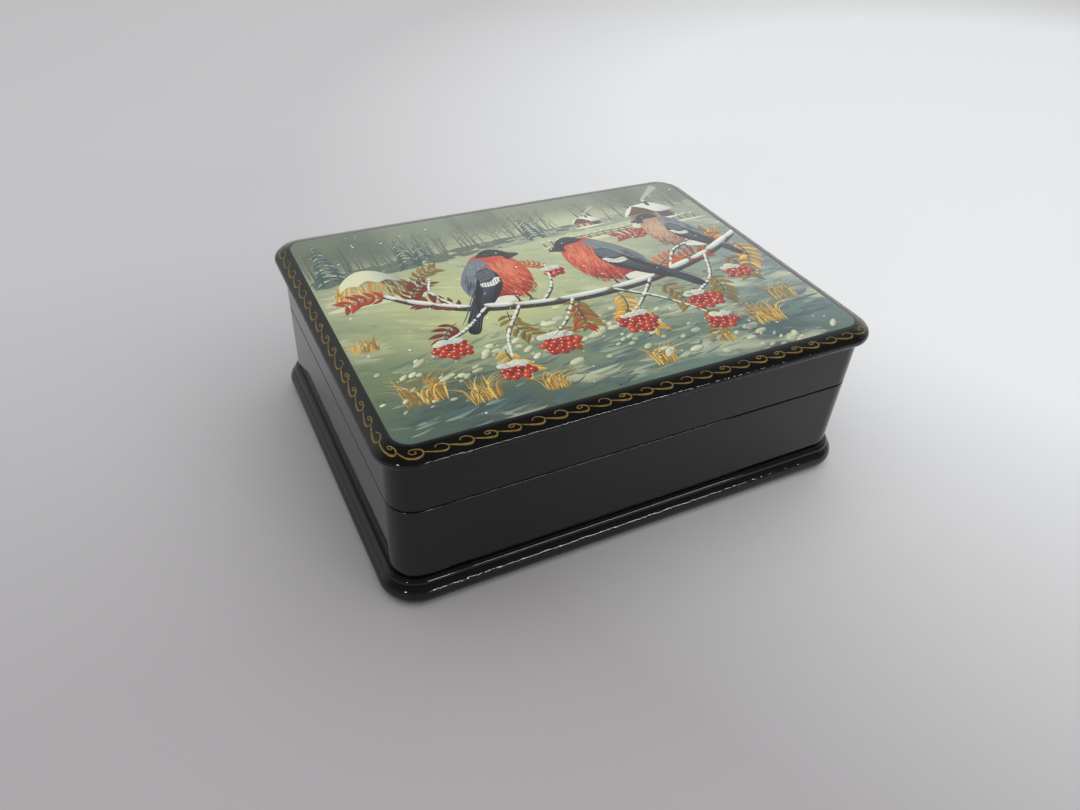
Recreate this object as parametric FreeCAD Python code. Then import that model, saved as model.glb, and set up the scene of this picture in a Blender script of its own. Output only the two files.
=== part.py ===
import FreeCAD, Part
import math
import os

# Papier-mache lacquer box with a hinged, crowned lid and a painted field on top.
# Millimetres. +Z is up, the front faces -Y, and the origin lies under the middle of the base board.
# The walls are one wound tube, cut in two at the parting height. The hinge is let into the rear wall there.

# Walls
wall_length = 125.8
wall_depth = 94.1
wall_corner_radius = 6.4
wall_thickness = 3.6
parting_height = 27.7
rim_rounding = 0.45

# Base board with a bullnose edge, and the bead in the angle between board and wall
base_overhang = 2.75
base_thickness = 5.8
bead_radius = 1.3

# Liner, glued inside the body wall and standing up into the lid
liner_thickness = 1.6
liner_stand = 2.4
liner_lid_clearance = 0.25
liner_chamfer = 0.6

# Lid
lid_wall_height = 12.85
lid_rest_gap = 0.06
lid_overhang = 2.1
border_width = 4.3
border_fall_angle = 44.0
edge_roll_radius = 1.5
crown_height = 0.5

# Painted field, a built-up skin of primer, paint and varnish in a shallow recess
paint_thickness = 0.15
field_recess = 0.05

# Hinge: rolled straps on one wire pin, with their tails glued in saw slots
knuckle_count = 5
hinge_length = 60.0
knuckle_gap = 0.2
pin_radius = 0.75
pin_clearance = 0.05
pin_end_chamfer = 0.2
strap_thickness = 0.5
strap_tail_length = 7.0
strap_seam = 0.1
pin_inset = 1.0
chase_clearance = 0.15
slot_clearance = 0.05
rear_bevel_angle = 50.0
rear_bevel_lead = 0.08

# One overrun for all cutting tools
overrun = 5.0

# Sizes that follow from those above
base_length = wall_length + 2 * base_overhang
base_depth = wall_depth + 2 * base_overhang
base_corner_radius = wall_corner_radius + base_overhang
bore_length = wall_length - 2 * wall_thickness
bore_depth = wall_depth - 2 * wall_thickness
bore_corner_radius = wall_corner_radius - wall_thickness
lid_length = wall_length + 2 * lid_overhang
lid_depth = wall_depth + 2 * lid_overhang
lid_corner_radius = wall_corner_radius + lid_overhang
lid_underside = parting_height + lid_wall_height
field_length = lid_length - 2 * border_width
field_depth = lid_depth - 2 * border_width
field_corner_radius = lid_corner_radius - border_width
pin_y = wall_depth / 2 - pin_inset
eye_radius = pin_radius + pin_clearance
knuckle_radius = eye_radius + strap_thickness
chase_radius = knuckle_radius + chase_clearance
knuckle_pitch = (hinge_length + knuckle_gap) / knuckle_count


def outline(length, depth, radius, height):
    """Rounded rectangle in a level plane, starting in the middle of its front run."""
    half_l = length / 2
    half_d = depth / 2
    start = FreeCAD.Vector(0, -half_d, height)
    edges = []
    last = start
    for sign_x, sign_y, turn in ((1, -1, -90), (1, 1, 0), (-1, 1, 90), (-1, -1, 180)):
        centre = FreeCAD.Vector(sign_x * (half_l - radius), sign_y * (half_d - radius), height)
        points = []
        for share in (0, 0.5, 1):
            angle = math.radians(turn + 90 * share)
            points.append(centre + FreeCAD.Vector(radius * math.cos(angle), radius * math.sin(angle), 0))
        edges.append(Part.LineSegment(last, points[0]).toShape())
        edges.append(Part.Arc(*points).toShape())
        last = points[2]
    edges.append(Part.LineSegment(last, start).toShape())
    return Part.Wire(edges)


def slab(length, depth, radius, low, high):
    """Level board of even thickness with rounded corners."""
    return Part.Face(outline(length, depth, radius, low)).extrude(FreeCAD.Vector(0, 0, high - low))


def end_edges(solid, side):
    """Edges of the highest level face (side 1) or of the lowest (side -1)."""
    return max(solid.Faces, key=lambda face: side * face.CenterOfMass.z).Edges


def wound_ring(low, high, rim_side):
    """Four-sided tube wound on a former, with its outer edge rounded above (1) or below (-1)."""
    board = slab(wall_length, wall_depth, wall_corner_radius, low, high)
    board = board.makeFillet(rim_rounding, end_edges(board, rim_side))
    bore = slab(bore_length, bore_depth, bore_corner_radius, low - overrun, high + overrun)
    return board.cut(bore)


def moulding(length, depth, radius, edges):
    """Sweep a section, drawn in the plane through the middle of the front run, all round the outline."""
    sweep = Part.BRepOffsetAPI.MakePipeShell(outline(length, depth, radius, 0))
    sweep.add(Part.Wire(edges))
    sweep.build()
    sweep.makeSolid()
    return sweep.shape()


def section_point(depth, inward, height):
    """Point of a moulding's section, measured inward from the outline."""
    return FreeCAD.Vector(0, inward - depth / 2, height)


def merged(*solids):
    """One solid out of pieces that share faces."""
    return solids[0].fuse(list(solids[1:])).removeSplitter()


def cross_prism(points):
    """Prism across the whole box from a section given as (y, z) points."""
    reach = wall_length / 2 + overrun
    corners = [FreeCAD.Vector(-reach, y, z) for y, z in points]
    face = Part.Face(Part.makePolygon(corners + corners[:1]))
    return face.extrude(FreeCAD.Vector(2 * reach, 0, 0))


def rear_bevel(side):
    """What is planed off a wall's rear edge behind the pin: side 1 for the lid, -1 for the body."""
    start = pin_y - rear_bevel_lead
    run = pin_inset + overrun
    fall = side * run * math.tan(math.radians(rear_bevel_angle))
    beyond = -side * overrun
    return cross_prism([
        (start, parting_height),
        (start + run, parting_height + fall),
        (start + run, parting_height + beyond),
        (start, parting_height + beyond),
    ])


def hinge_chase():
    """Round channel for the knuckles, along the pin."""
    length = hinge_length + 2 * knuckle_gap
    start = FreeCAD.Vector(-length / 2, pin_y, parting_height)
    return Part.makeCylinder(chase_radius, length, start, FreeCAD.Vector(1, 0, 0))


def knuckle_span(index):
    """Lowest and highest x of one knuckle, counted from the left."""
    low = index * knuckle_pitch - hinge_length / 2
    return low, low + knuckle_pitch - knuckle_gap


def tail_slot(index, side):
    """Saw slot in a wall for the tail of one strap."""
    low, high = knuckle_span(index)
    depth = strap_tail_length + slot_clearance
    front = pin_y - knuckle_radius - slot_clearance
    bottom = parting_height if side > 0 else parting_height - depth
    corner = FreeCAD.Vector(low - slot_clearance, front, bottom)
    length = high - low + 2 * slot_clearance
    return Part.makeBox(length, strap_thickness + 2 * slot_clearance, depth, corner)


def let_in_hinge(wall, side, indices):
    """Cut the bevel, the chase and the saw slots into a wall."""
    tools = [rear_bevel(side), hinge_chase()]
    tools += [tail_slot(index, side) for index in indices]
    return wall.cut(tools)


def hinge_strap(index, side):
    """Strap rolled into an eye round the pin, with a flat tail: side 1 points up, -1 points down."""
    low, high = knuckle_span(index)

    def spot(along, across):
        return FreeCAD.Vector(low, pin_y + along, parting_height - side * across)

    end_angle = math.pi + math.acos((eye_radius - strap_seam) / knuckle_radius)
    ends = []
    for radius in (knuckle_radius, eye_radius):
        ends.append(spot(radius * math.cos(end_angle), radius * math.sin(end_angle)))
    outer_start = spot(-knuckle_radius, 0)
    inner_start = spot(-eye_radius, 0)
    section = [
        Part.LineSegment(spot(-knuckle_radius, -strap_tail_length), outer_start),
        Part.Arc(outer_start, spot(0, knuckle_radius), ends[0]),
        Part.LineSegment(ends[0], ends[1]),
        Part.Arc(ends[1], spot(0, eye_radius), inner_start),
        Part.LineSegment(inner_start, spot(-eye_radius, -strap_tail_length)),
        Part.LineSegment(spot(-eye_radius, -strap_tail_length), spot(-knuckle_radius, -strap_tail_length)),
    ]
    face = Part.Face(Part.Wire([piece.toShape() for piece in section]))
    return face.extrude(FreeCAD.Vector(high - low, 0, 0))


def hinge_pin():
    """Wire pin through all the knuckles, its two ends dressed."""
    start = FreeCAD.Vector(-hinge_length / 2, pin_y, parting_height)
    wire = Part.makeCylinder(pin_radius, hinge_length, start, FreeCAD.Vector(1, 0, 0))
    rims = [edge for edge in wire.Edges if edge.Closed]
    return wire.makeChamfer(pin_end_chamfer, rims)


def base_board():
    """Bottom board whose edge is a full half-round."""
    radius = base_thickness / 2
    low = section_point(base_depth, radius, 0)
    high = section_point(base_depth, radius, base_thickness)
    roll = Part.Arc(low, section_point(base_depth, 0, radius), high)
    edge = moulding(base_length, base_depth, base_corner_radius, [
        roll.toShape(),
        Part.LineSegment(high, low).toShape(),
    ])
    middle = slab(
        base_length - base_thickness,
        base_depth - base_thickness,
        base_corner_radius - radius,
        0,
        base_thickness,
    )
    return merged(middle, edge)


def foot_bead():
    """Quarter-round strip in the angle between the wall and the base board."""
    reach = -bead_radius
    slant = bead_radius * math.sqrt(0.5)
    toe = section_point(wall_depth, reach, base_thickness)
    top = section_point(wall_depth, 0, base_thickness + bead_radius)
    heel = section_point(wall_depth, 0, base_thickness)
    middle = section_point(wall_depth, -slant, base_thickness + slant)
    return moulding(wall_length, wall_depth, wall_corner_radius, [
        Part.Arc(toe, middle, top).toShape(),
        Part.LineSegment(top, heel).toShape(),
        Part.LineSegment(heel, toe).toShape(),
    ])


def body_wall():
    """Lower part of the wound tube, with a rounded rim."""
    ring = wound_ring(base_thickness, parting_height - lid_rest_gap / 2, 1)
    return let_in_hinge(ring, -1, range(0, knuckle_count, 2))


def inner_liner():
    """Inner tube that locates the lid: above the rim it is pared back and chamfered."""
    top = parting_height + liner_stand
    rim = parting_height - lid_rest_gap / 2
    seated = slab(bore_length, bore_depth, bore_corner_radius, base_thickness, rim)
    stand = slab(
        bore_length - 2 * liner_lid_clearance,
        bore_depth - 2 * liner_lid_clearance,
        bore_corner_radius - liner_lid_clearance,
        base_thickness,
        top,
    )
    stand = stand.makeChamfer(liner_chamfer, end_edges(stand, 1))
    inside = slab(
        bore_length - 2 * liner_thickness,
        bore_depth - 2 * liner_thickness,
        bore_corner_radius - liner_thickness,
        base_thickness - overrun,
        top + overrun,
    )
    return merged(seated, stand).cut(inside)


def lid_wall():
    """Upper part of the wound tube."""
    ring = wound_ring(parting_height + lid_rest_gap / 2, lid_underside, -1)
    return let_in_hinge(ring, 1, range(1, knuckle_count, 2))


def border_section():
    """Section of the lid's sloping border, and the height at which it meets the painted field."""
    angle = math.radians(border_fall_angle)
    roll_height = lid_underside + edge_roll_radius
    slope_radius = (border_width - edge_roll_radius * (1 - math.sin(angle))) / math.sin(angle)
    turn_in = edge_roll_radius * (1 - math.sin(angle))
    turn_up = roll_height + edge_roll_radius * math.cos(angle)
    field_edge = turn_up + slope_radius * (1 - math.cos(angle))
    half = angle / 2
    under = section_point(lid_depth, edge_roll_radius, lid_underside)
    nose = section_point(lid_depth, 0, roll_height)
    turn = section_point(lid_depth, turn_in, turn_up)
    slope = section_point(
        lid_depth,
        border_width - slope_radius * math.sin(half),
        field_edge - slope_radius * (1 - math.cos(half)),
    )
    edge = section_point(lid_depth, border_width, field_edge)
    root = section_point(lid_depth, border_width, lid_underside)
    section = [
        Part.LineSegment(root, under).toShape(),
        Part.Arc(under, nose, turn).toShape(),
        Part.Arc(turn, slope, edge).toShape(),
        Part.LineSegment(edge, root).toShape(),
    ]
    return section, field_edge


def crown_face(height):
    """Pillow over the painted field: level along the field's four edges, highest in the middle."""
    half_l = field_length / 2
    half_d = field_depth / 2
    surface = Part.BezierSurface()
    surface.increase(2, 2)
    rows = []
    for half in (half_l, half_d):
        dip = ((half + overrun) / half) ** 2 - 1
        reach = half + overrun
        rows.append(((-reach, -dip), (0, 2 + dip), (reach, -dip)))
    for column, (x, lift_x) in enumerate(rows[0], start=1):
        for row, (y, lift_y) in enumerate(rows[1], start=1):
            surface.setPole(column, row, FreeCAD.Vector(x, y, height + crown_height * lift_x * lift_y))
    return surface.toShape()


def lid_panel():
    """Pressed board with a sloping border, a rolled edge and a crowned middle in a shallow recess."""
    section, field_edge = border_section()
    border = moulding(lid_length, lid_depth, lid_corner_radius, section)
    plug = slab(field_length, field_depth, field_corner_radius, lid_underside, field_edge + crown_height)
    down = FreeCAD.Vector(0, 0, lid_underside - field_edge - overrun)
    under_crown = crown_face(field_edge - field_recess).extrude(down)
    return merged(plug.common(under_crown), border)


def painted_field():
    """Skin of even thickness over the crowned middle of the lid."""
    height = border_section()[1] - field_recess
    top = height + crown_height + paint_thickness + overrun
    plug = slab(field_length, field_depth, field_corner_radius, height - overrun, top)
    return plug.common(crown_face(height).extrude(FreeCAD.Vector(0, 0, paint_thickness)))


pieces = {
    "base_board": base_board(),
    "foot_bead": foot_bead(),
    "body_wall": body_wall(),
    "inner_liner": inner_liner(),
    "lid_wall": lid_wall(),
    "lid_panel": lid_panel(),
    "painted_field": painted_field(),
    "hinge_pin": hinge_pin(),
}
for number, index in enumerate(range(0, knuckle_count, 2), start=1):
    pieces[f"body_hinge_strap_{number}"] = hinge_strap(index, -1)
for number, index in enumerate(range(1, knuckle_count, 2), start=1):
    pieces[f"lid_hinge_strap_{number}"] = hinge_strap(index, 1)

os.makedirs("parts", exist_ok=True)
for name, shape in pieces.items():
    box = shape.BoundBox
    print(f"{name}: {len(shape.Solids)} solid, valid {shape.isValid()}, volume {shape.Volume:.1f}, "
          f"z {box.ZMin:.2f} to {box.ZMax:.2f}")
    shape.exportStep(f"parts/{name}.step")
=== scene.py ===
import math
import random

import bmesh
import bpy
import numpy as np
from mathutils import Matrix, Vector
from mathutils.geometry import delaunay_2d_cdt


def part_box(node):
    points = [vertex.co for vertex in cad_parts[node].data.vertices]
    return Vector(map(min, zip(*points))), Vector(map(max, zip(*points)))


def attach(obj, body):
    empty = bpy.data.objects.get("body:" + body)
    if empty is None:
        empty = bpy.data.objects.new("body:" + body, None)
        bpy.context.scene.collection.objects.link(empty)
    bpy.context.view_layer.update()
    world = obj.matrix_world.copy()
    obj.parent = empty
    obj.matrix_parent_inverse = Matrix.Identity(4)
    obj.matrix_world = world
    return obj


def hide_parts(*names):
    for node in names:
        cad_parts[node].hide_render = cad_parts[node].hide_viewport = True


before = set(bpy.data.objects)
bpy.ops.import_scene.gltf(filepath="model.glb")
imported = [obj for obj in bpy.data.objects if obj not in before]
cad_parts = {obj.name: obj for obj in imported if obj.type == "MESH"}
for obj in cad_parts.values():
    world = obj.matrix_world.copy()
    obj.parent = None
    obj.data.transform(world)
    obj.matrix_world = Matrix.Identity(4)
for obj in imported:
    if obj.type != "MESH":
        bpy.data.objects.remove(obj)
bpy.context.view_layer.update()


# Base board. A board of pressed paper with its edge turned to a full half-round, glued under the walls.
# It is primed, lacquered black in many coats and polished, with the last coat left a little wavy.
board_low, board_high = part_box("base_board")
wall_low, wall_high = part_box("body_wall")
wall_corner = 0.0064
wall_half_x = wall_high.x
wall_half_y = -wall_low.y
board_overhang = board_high.x - wall_half_x
board_thickness = board_high.z - board_low.z
corner_steps = 28


def outline(half_x, half_y, corner, steps=corner_steps):
    """Corner centres and outward directions round a rounded rectangle, anticlockwise from the front left."""
    stations = []
    for sign_x, sign_y, turn in ((-1, -1, 180), (1, -1, 270), (1, 1, 0), (-1, 1, 90)):
        centre = Vector((sign_x * (half_x - corner), sign_y * (half_y - corner), 0))
        for step in range(steps + 1):
            angle = math.radians(turn + 90 * step / steps)
            stations.append((centre, Vector((math.cos(angle), math.sin(angle), 0))))
    return stations


def turned(inward, height, radius, start, end, steps):
    """Round stretch of a section: points as (inward, height, outward part and upward part of the normal)."""
    points = []
    for step in range(steps + 1):
        angle = math.radians(start + (end - start) * step / steps)
        out, up = math.cos(angle), math.sin(angle)
        points.append((inward - radius * out, height + radius * up, out, up))
    return points


def stepped(*corners):
    """Flat stretches of a section between (inward, height) corners, with the outside on the right."""
    stretches = []
    for start, end in zip(corners, corners[1:]):
        run_in, run_up = end[0] - start[0], end[1] - start[1]
        length = math.hypot(run_in, run_up)
        out, up = run_up / length, run_in / length
        stretches.append([(*start, out, up), (*end, out, up)])
    return stretches


def new_piece(name, mesh, material, body, slot, *stands_for):
    """Put a mesh in the scene with its material and body, and hide the nodes it stands for. The slot is not
    used.
    """
    piece = bpy.data.objects.new(name, mesh)
    bpy.context.scene.collection.objects.link(piece)
    mesh.materials.append(material)
    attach(piece, body)
    if stands_for:
        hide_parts(*stands_for)
    return piece


def moulded(name, stations, corner, runs, capped=()):
    """Mesh of a section run round an outline, with the section's own normals and level faces on open ends."""
    spots = []
    spans = []
    for run in runs:
        for pair in zip(run, run[1:]):
            ends = []
            for inward, height, part_out, part_up in pair:
                place = (round(inward, 9), round(height, 9))
                if place not in spots:
                    spots.append(place)
                ends.append((spots.index(place), part_out, part_up))
            spans.append(ends)
    vertices = []
    for centre, out in stations:
        for inward, height in spots:
            vertices.append(centre + out * (corner - inward) + Vector((0, 0, height)))
    faces = []
    normals = []
    count = len(spots)
    for number, (_, out) in enumerate(stations):
        after = (number + 1) % len(stations)
        out_after = stations[after][1]
        for (a, *a_parts), (b, *b_parts) in spans:
            faces.append((number * count + a, after * count + a, after * count + b, number * count + b))
            for way, parts in ((out, a_parts), (out_after, a_parts), (out_after, b_parts), (out, b_parts)):
                normals.append(way * parts[0] + Vector((0, 0, parts[1])))
    for (inward, height), up in capped:
        spot = spots.index((round(inward, 9), round(height, 9)))
        ring = [number * count + spot for number in range(len(stations))]
        faces.append(ring if up > 0 else ring[::-1])
        normals += [Vector((0, 0, up))] * len(ring)
    mesh = bpy.data.meshes.new(name)
    mesh.from_pydata(vertices, [], faces)
    mesh.shade_smooth()
    mesh.normals_split_custom_set(normals)
    return mesh


def put(value, socket):
    """Link an input to the socket given, or set it to the plain value given."""
    if isinstance(value, bpy.types.NodeSocket):
        socket.id_data.links.new(value, socket)
    else:
        socket.default_value = value


def node(tree, kind, **settings):
    """Add one shader node with its plain properties and its inputs."""
    made = tree.nodes.new(kind)
    for name, value in settings.items():
        if hasattr(made, name):
            setattr(made, name, value)
        else:
            put(value, made.inputs[name.replace("_", " ")])
    return made


def worked(tree, kind, operation, first, second):
    """Value worked out from two inputs."""
    made = node(tree, kind, operation=operation)
    put(first, made.inputs[0])
    put(second, made.inputs[1])
    return made.outputs["Value"]


def ranged(tree, source, low, high, out_low=0.0, out_high=1.0):
    """Value moved from one range to another and held inside it."""
    ends = {"From_Min": low, "From_Max": high, "To_Min": out_low, "To_Max": out_high}
    return node(tree, "ShaderNodeMapRange", Value=source, **ends).outputs["Result"]


def mixed(tree, share, first, second, **settings):
    """Colour between two others."""
    made = node(tree, "ShaderNodeMix", data_type="RGBA", Factor=share, A=first, B=second, **settings)
    return made.outputs["Result"]


def noise(tree, place, scale, detail, roughness):
    """Cloudy value over a surface."""
    made = node(tree, "ShaderNodeTexNoise", Vector=place, Scale=scale, Detail=detail, Roughness=roughness)
    return made.outputs["Fac"]


def raised(tree, height, distance, **under):
    """Normal of a surface that a value lifts by up to that distance."""
    made = node(tree, "ShaderNodeBump", Strength=1.0, Distance=distance, Height=height, **under)
    return made.outputs["Normal"]


def new_material(name, **plain):
    """Node material, its tree, its shader with the plain inputs set, and the place on the object."""
    material = bpy.data.materials.new(name)
    material.use_nodes = True
    tree = material.node_tree
    shader = tree.nodes["Principled BSDF"]
    for socket, value in plain.items():
        put(value, shader.inputs[socket])
    return material, tree, shader, node(tree, "ShaderNodeTexCoord").outputs["Object"]


def dressed(shader, colour, roughness, normal=None):
    """Link the shader's colour, roughness and bump."""
    put(colour, shader.inputs["Base Color"])
    put(roughness, shader.inputs["Roughness"])
    if normal:
        put(normal, shader.inputs["Normal"])


def srgb(red, green, blue):
    """Linear colour from the 0 to 255 values that a colour chart gives."""
    linear = []
    for value in (red, green, blue):
        share = value / 255
        linear.append(share / 12.92 if share <= 0.04045 else ((share + 0.055) / 1.055) ** 2.4)
    return (*linear, 1.0)


ripple_fade = 0.0004


def lacquer(name, colour, deep_colour, dust_colour, roughness, waviness, ripple=0.0, ripple_top=1.0):
    """Polished lacquer: cloudy gloss, a slow waviness of the last coat, fine hairlines and a little dust.

    On rolled edges, up to the height ripple_top, the brush has left a finer ripple.
    """
    material, tree, shader, place = new_material(name)
    clouds = noise(tree, place, 55.0, 3.0, 0.55)
    wiping = {"Scale": (260.0, 4200.0, 2600.0), "Rotation": (0.0, 0.3, 0.35)}
    wiped = node(tree, "ShaderNodeMapping", Vector=place, **wiping).outputs["Vector"]
    hairs = noise(tree, wiped, 1.0, 2.0, 0.7)
    specks = node(tree, "ShaderNodeTexVoronoi", Vector=place, Scale=520.0, Randomness=1.0).outputs
    speck = ranged(tree, specks["Distance"], 0.03, 0.07, 1.0, 0.0)
    chance = ranged(tree, specks["Color"], 0.90, 0.93)
    dust = worked(tree, "ShaderNodeMath", "MULTIPLY", speck, chance)
    tone = mixed(tree, ranged(tree, clouds, 0.35, 0.65), colour, deep_colour)
    cloudy = ranged(tree, clouds, 0.3, 0.7, roughness * 0.8, roughness * 1.25)
    gloss = worked(tree, "ShaderNodeMath", "ADD", cloudy, ranged(tree, hairs, 0.62, 0.85, 0.0, 0.10))
    dull = worked(tree, "ShaderNodeMath", "MAXIMUM", gloss, ranged(tree, dust, 0.0, 1.0, 0.0, 0.6))
    normal = raised(tree, noise(tree, place, 230.0, 2.0, 0.5), waviness)
    if ripple:
        height = node(tree, "ShaderNodeSeparateXYZ", Vector=place).outputs["Z"]
        rolled = ranged(tree, height, ripple_top, ripple_top + ripple_fade, 1.0, 0.0)
        drips = worked(tree, "ShaderNodeMath", "MULTIPLY", noise(tree, place, 720.0, 1.5, 0.5), rolled)
        normal = raised(tree, drips, ripple, Normal=normal)
    dressed(shader, mixed(tree, dust, tone, dust_colour), dull, normal)
    return material


black_tones = srgb(6, 6, 7), srgb(4, 4, 5), srgb(140, 138, 132)
last_coat_waves = 0.000012
black_lacquer = lacquer("black_lacquer", *black_tones, 0.055, last_coat_waves)
base_ripple = {"ripple": 0.00008, "ripple_top": board_high.z * 0.9}
base_lacquer = lacquer("black_lacquer_base", *black_tones, 0.06, last_coat_waves, **base_ripple)

half_round = board_thickness / 2
half_round_steps = 40
board_corner = wall_corner + board_overhang
board_mesh = moulded(
    "base_board_lacquered",
    outline(board_high.x, board_high.y, board_corner),
    board_corner,
    [turned(half_round, half_round, half_round, -90, 90, half_round_steps)],
    [((half_round, board_thickness), 1), ((half_round, 0.0), -1)],
)
new_piece("base_board_lacquered", board_mesh, base_lacquer, "body", "black_lacquer", "base_board")


# Foot bead. A thin quarter-round strip laid in the angle between wall and base board, to hide the glue line.
# It is lacquered together with the walls, so it catches its own thread of light.
bead_low, bead_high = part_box("foot_bead")
bead_radius = bead_high.z - bead_low.z
bead_steps = 18
wall_round = outline(wall_half_x, wall_half_y, wall_corner)
bead_back = stepped((0.0, bead_high.z), (0.0, bead_low.z), (-bead_radius, bead_low.z))
bead_section = [turned(0.0, bead_low.z, bead_radius, 0, 90, bead_steps)] + bead_back
bead_mesh = moulded("foot_bead_lacquered", wall_round, wall_corner, bead_section)
new_piece("foot_bead_lacquered", bead_mesh, black_lacquer, "body", "black_lacquer", "foot_bead")


# Walls. Strips of glued paper are wound on a former into one four-sided tube, dried, and sawn in two at the
# rim. The rear edges are planed to a bevel, and a round chase and saw slots are cut there for the hinge.
lid_wall_low, lid_wall_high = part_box("lid_wall")
pin_low, pin_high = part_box("hinge_pin")
wall_thickness = 0.0036
rim_rounding = 0.00045
rim_steps = 8
rear_bevel_angle = math.radians(50)
rear_bevel_lead = 0.00008
chase_radius = 0.00145
chase_steps = 64
parting = (pin_low.z + pin_high.z) / 2
pin_y = (pin_low.y + pin_high.y) / 2
strap_names = {
    "body": ["body_hinge_strap_1", "body_hinge_strap_2", "body_hinge_strap_3"],
    "lid": ["lid_hinge_strap_1", "lid_hinge_strap_2"],
}
strap_thickness = 0.0005
slot_play = 0.00005
chase_end_play = 4 * slot_play
saw_overrun = 0.004
sharp_turn = math.radians(30)


def wall_ring(name, low, high, rim_up):
    """Closed ring of wall between two heights, with its outer rim edge rounded above or below."""
    inner = wall_thickness
    edge = rim_rounding
    if rim_up:
        runs = stepped((0.0, low), (0.0, high - edge)) + [turned(edge, high - edge, edge, 0, 90, rim_steps)]
        runs += stepped((edge, high), (inner, high), (inner, low), (0.0, low))
    else:
        runs = [turned(edge, low + edge, edge, -90, 0, rim_steps)]
        runs += stepped((0.0, low + edge), (0.0, high), (inner, high), (inner, low), (edge, low))
    return moulded(name, wall_round, wall_corner, runs)


def prism(points, low_x, high_x, name="cutter"):
    """Closed solid along X from a section of (y, z) points."""
    solid = bmesh.new()
    ends = []
    for x in (low_x, high_x):
        ends.append([solid.verts.new((x, y, z)) for y, z in points])
    solid.faces.new(ends[0])
    solid.faces.new(ends[1][::-1])
    for number in range(len(points)):
        after = (number + 1) % len(points)
        solid.faces.new((ends[0][number], ends[1][number], ends[1][after], ends[0][after]))
    bmesh.ops.recalc_face_normals(solid, faces=solid.faces)
    mesh = bpy.data.meshes.new(name)
    solid.to_mesh(mesh)
    solid.free()
    return mesh


def circle_points(radius, steps):
    """(y, z) points round the pin's axis."""
    points = []
    for step in range(steps):
        angle = 2 * math.pi * step / steps
        points.append((pin_y + radius * math.cos(angle), parting + radius * math.sin(angle)))
    return points


def hinge_cutters(side, straps):
    """What is planed and sawn out of a wall's rear edge: side 1 for the lid, -1 for the body."""
    start = pin_y - rear_bevel_lead
    end = wall_half_y + saw_overrun
    slope_rise = (end - start) * math.tan(rear_bevel_angle)
    below = parting - side * saw_overrun
    reach = wall_half_x + saw_overrun
    bevel = [(start, parting), (end, parting + side * slope_rise), (end, below), (start, below)]
    chase = circle_points(chase_radius, chase_steps)
    meshes = [prism(bevel, -reach, reach)]
    meshes.append(prism(chase, pin_low.x - chase_end_play, pin_high.x + chase_end_play))
    for name in straps:
        low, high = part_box(name)
        front = low.y - slot_play
        back = low.y + strap_thickness + slot_play
        top = parting + side * (max(abs(high.z - parting), abs(low.z - parting)) + slot_play)
        tail = [(front, parting), (back, parting), (back, top), (front, top)]
        meshes.append(prism(tail, low.x - slot_play, high.x + slot_play))
    return meshes


def cut(piece, cutters):
    """Take the cutters out of a piece for good."""
    for mesh in cutters:
        tool = bpy.data.objects.new("cutter", mesh)
        bpy.context.scene.collection.objects.link(tool)
        step = piece.modifiers.new("cut", "BOOLEAN")
        step.operation = "DIFFERENCE"
        step.solver = "EXACT"
        step.object = tool
        bpy.context.view_layer.update()
        shown = piece.evaluated_get(bpy.context.evaluated_depsgraph_get())
        result = bpy.data.meshes.new_from_object(shown)
        piece.modifiers.clear()
        piece.data = result
        bpy.data.objects.remove(tool)


def even_shading(piece):
    """Smooth shading that keeps flat faces flat and marks the real arrises sharp."""
    piece.data.shade_smooth()
    piece.data.set_sharp_from_angle(angle=sharp_turn)
    weighted = piece.modifiers.new("face_weighted", "WEIGHTED_NORMAL")
    weighted.keep_sharp = True
    weighted.weight = 100


def depth_in_wall(point):
    """How far a point lies inward from the wall's outside."""
    along = Vector((abs(point.x) - wall_half_x + wall_corner, abs(point.y) - wall_half_y + wall_corner))
    if along.x > 0 and along.y > 0:
        return wall_corner - along.length
    return wall_corner - max(along.x, along.y)


red_tones = srgb(148, 26, 16), srgb(122, 18, 12), srgb(200, 120, 105)
red_lacquer = lacquer("red_lacquer", *red_tones, roughness=0.12, waviness=0.00001)

body_ring = wall_ring("body_wall_lacquered", wall_low.z, wall_high.z, True)
body_wall = new_piece("body_wall_lacquered", body_ring, black_lacquer, "body", "black_lacquer", "body_wall")
cut(body_wall, hinge_cutters(-1, strap_names["body"]))
even_shading(body_wall)

lid_ring = wall_ring("lid_wall_lacquered", lid_wall_low.z, lid_wall_high.z, False)
lid_wall = new_piece("lid_wall_lacquered", lid_ring, black_lacquer, "lid", "black_lacquer", "lid_wall")
cut(lid_wall, hinge_cutters(1, strap_names["lid"]))
lid_wall.data.materials.append(red_lacquer)
for face in lid_wall.data.polygons:
    if depth_in_wall(face.center) > wall_thickness - slot_play:
        face.material_index = 1
even_shading(lid_wall)


# Liner and floor. A second, thinner tube is glued inside the body and stands a little above the rim,
# so that the lid drops over it. Inside, liner and floor have the box's red lacquer.
liner_low, liner_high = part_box("inner_liner")
liner_thickness = 0.0016
liner_chamfer = 0.0006
liner_play = 0.00025
liner_edge = 0.0001
liner_edge_steps = 6
liner_corner = wall_corner - wall_thickness
liner_round = outline(liner_high.x, liner_high.y, liner_corner)
liner_back = liner_thickness - liner_edge
liner_section = stepped(
    (0.0, liner_low.z),
    (0.0, wall_high.z),
    (liner_play, wall_high.z),
    (liner_play, liner_high.z - liner_chamfer),
    (liner_play + liner_chamfer, liner_high.z),
    (liner_back, liner_high.z),
)
liner_section.append(turned(liner_back, liner_high.z - liner_edge, liner_edge, 90, 180, liner_edge_steps))
liner_section += stepped(
    (liner_thickness, liner_high.z - liner_edge), (liner_thickness, liner_low.z), (0.0, liner_low.z)
)
liner_mesh = moulded("inner_liner_lacquered", liner_round, liner_corner, liner_section)
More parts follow.
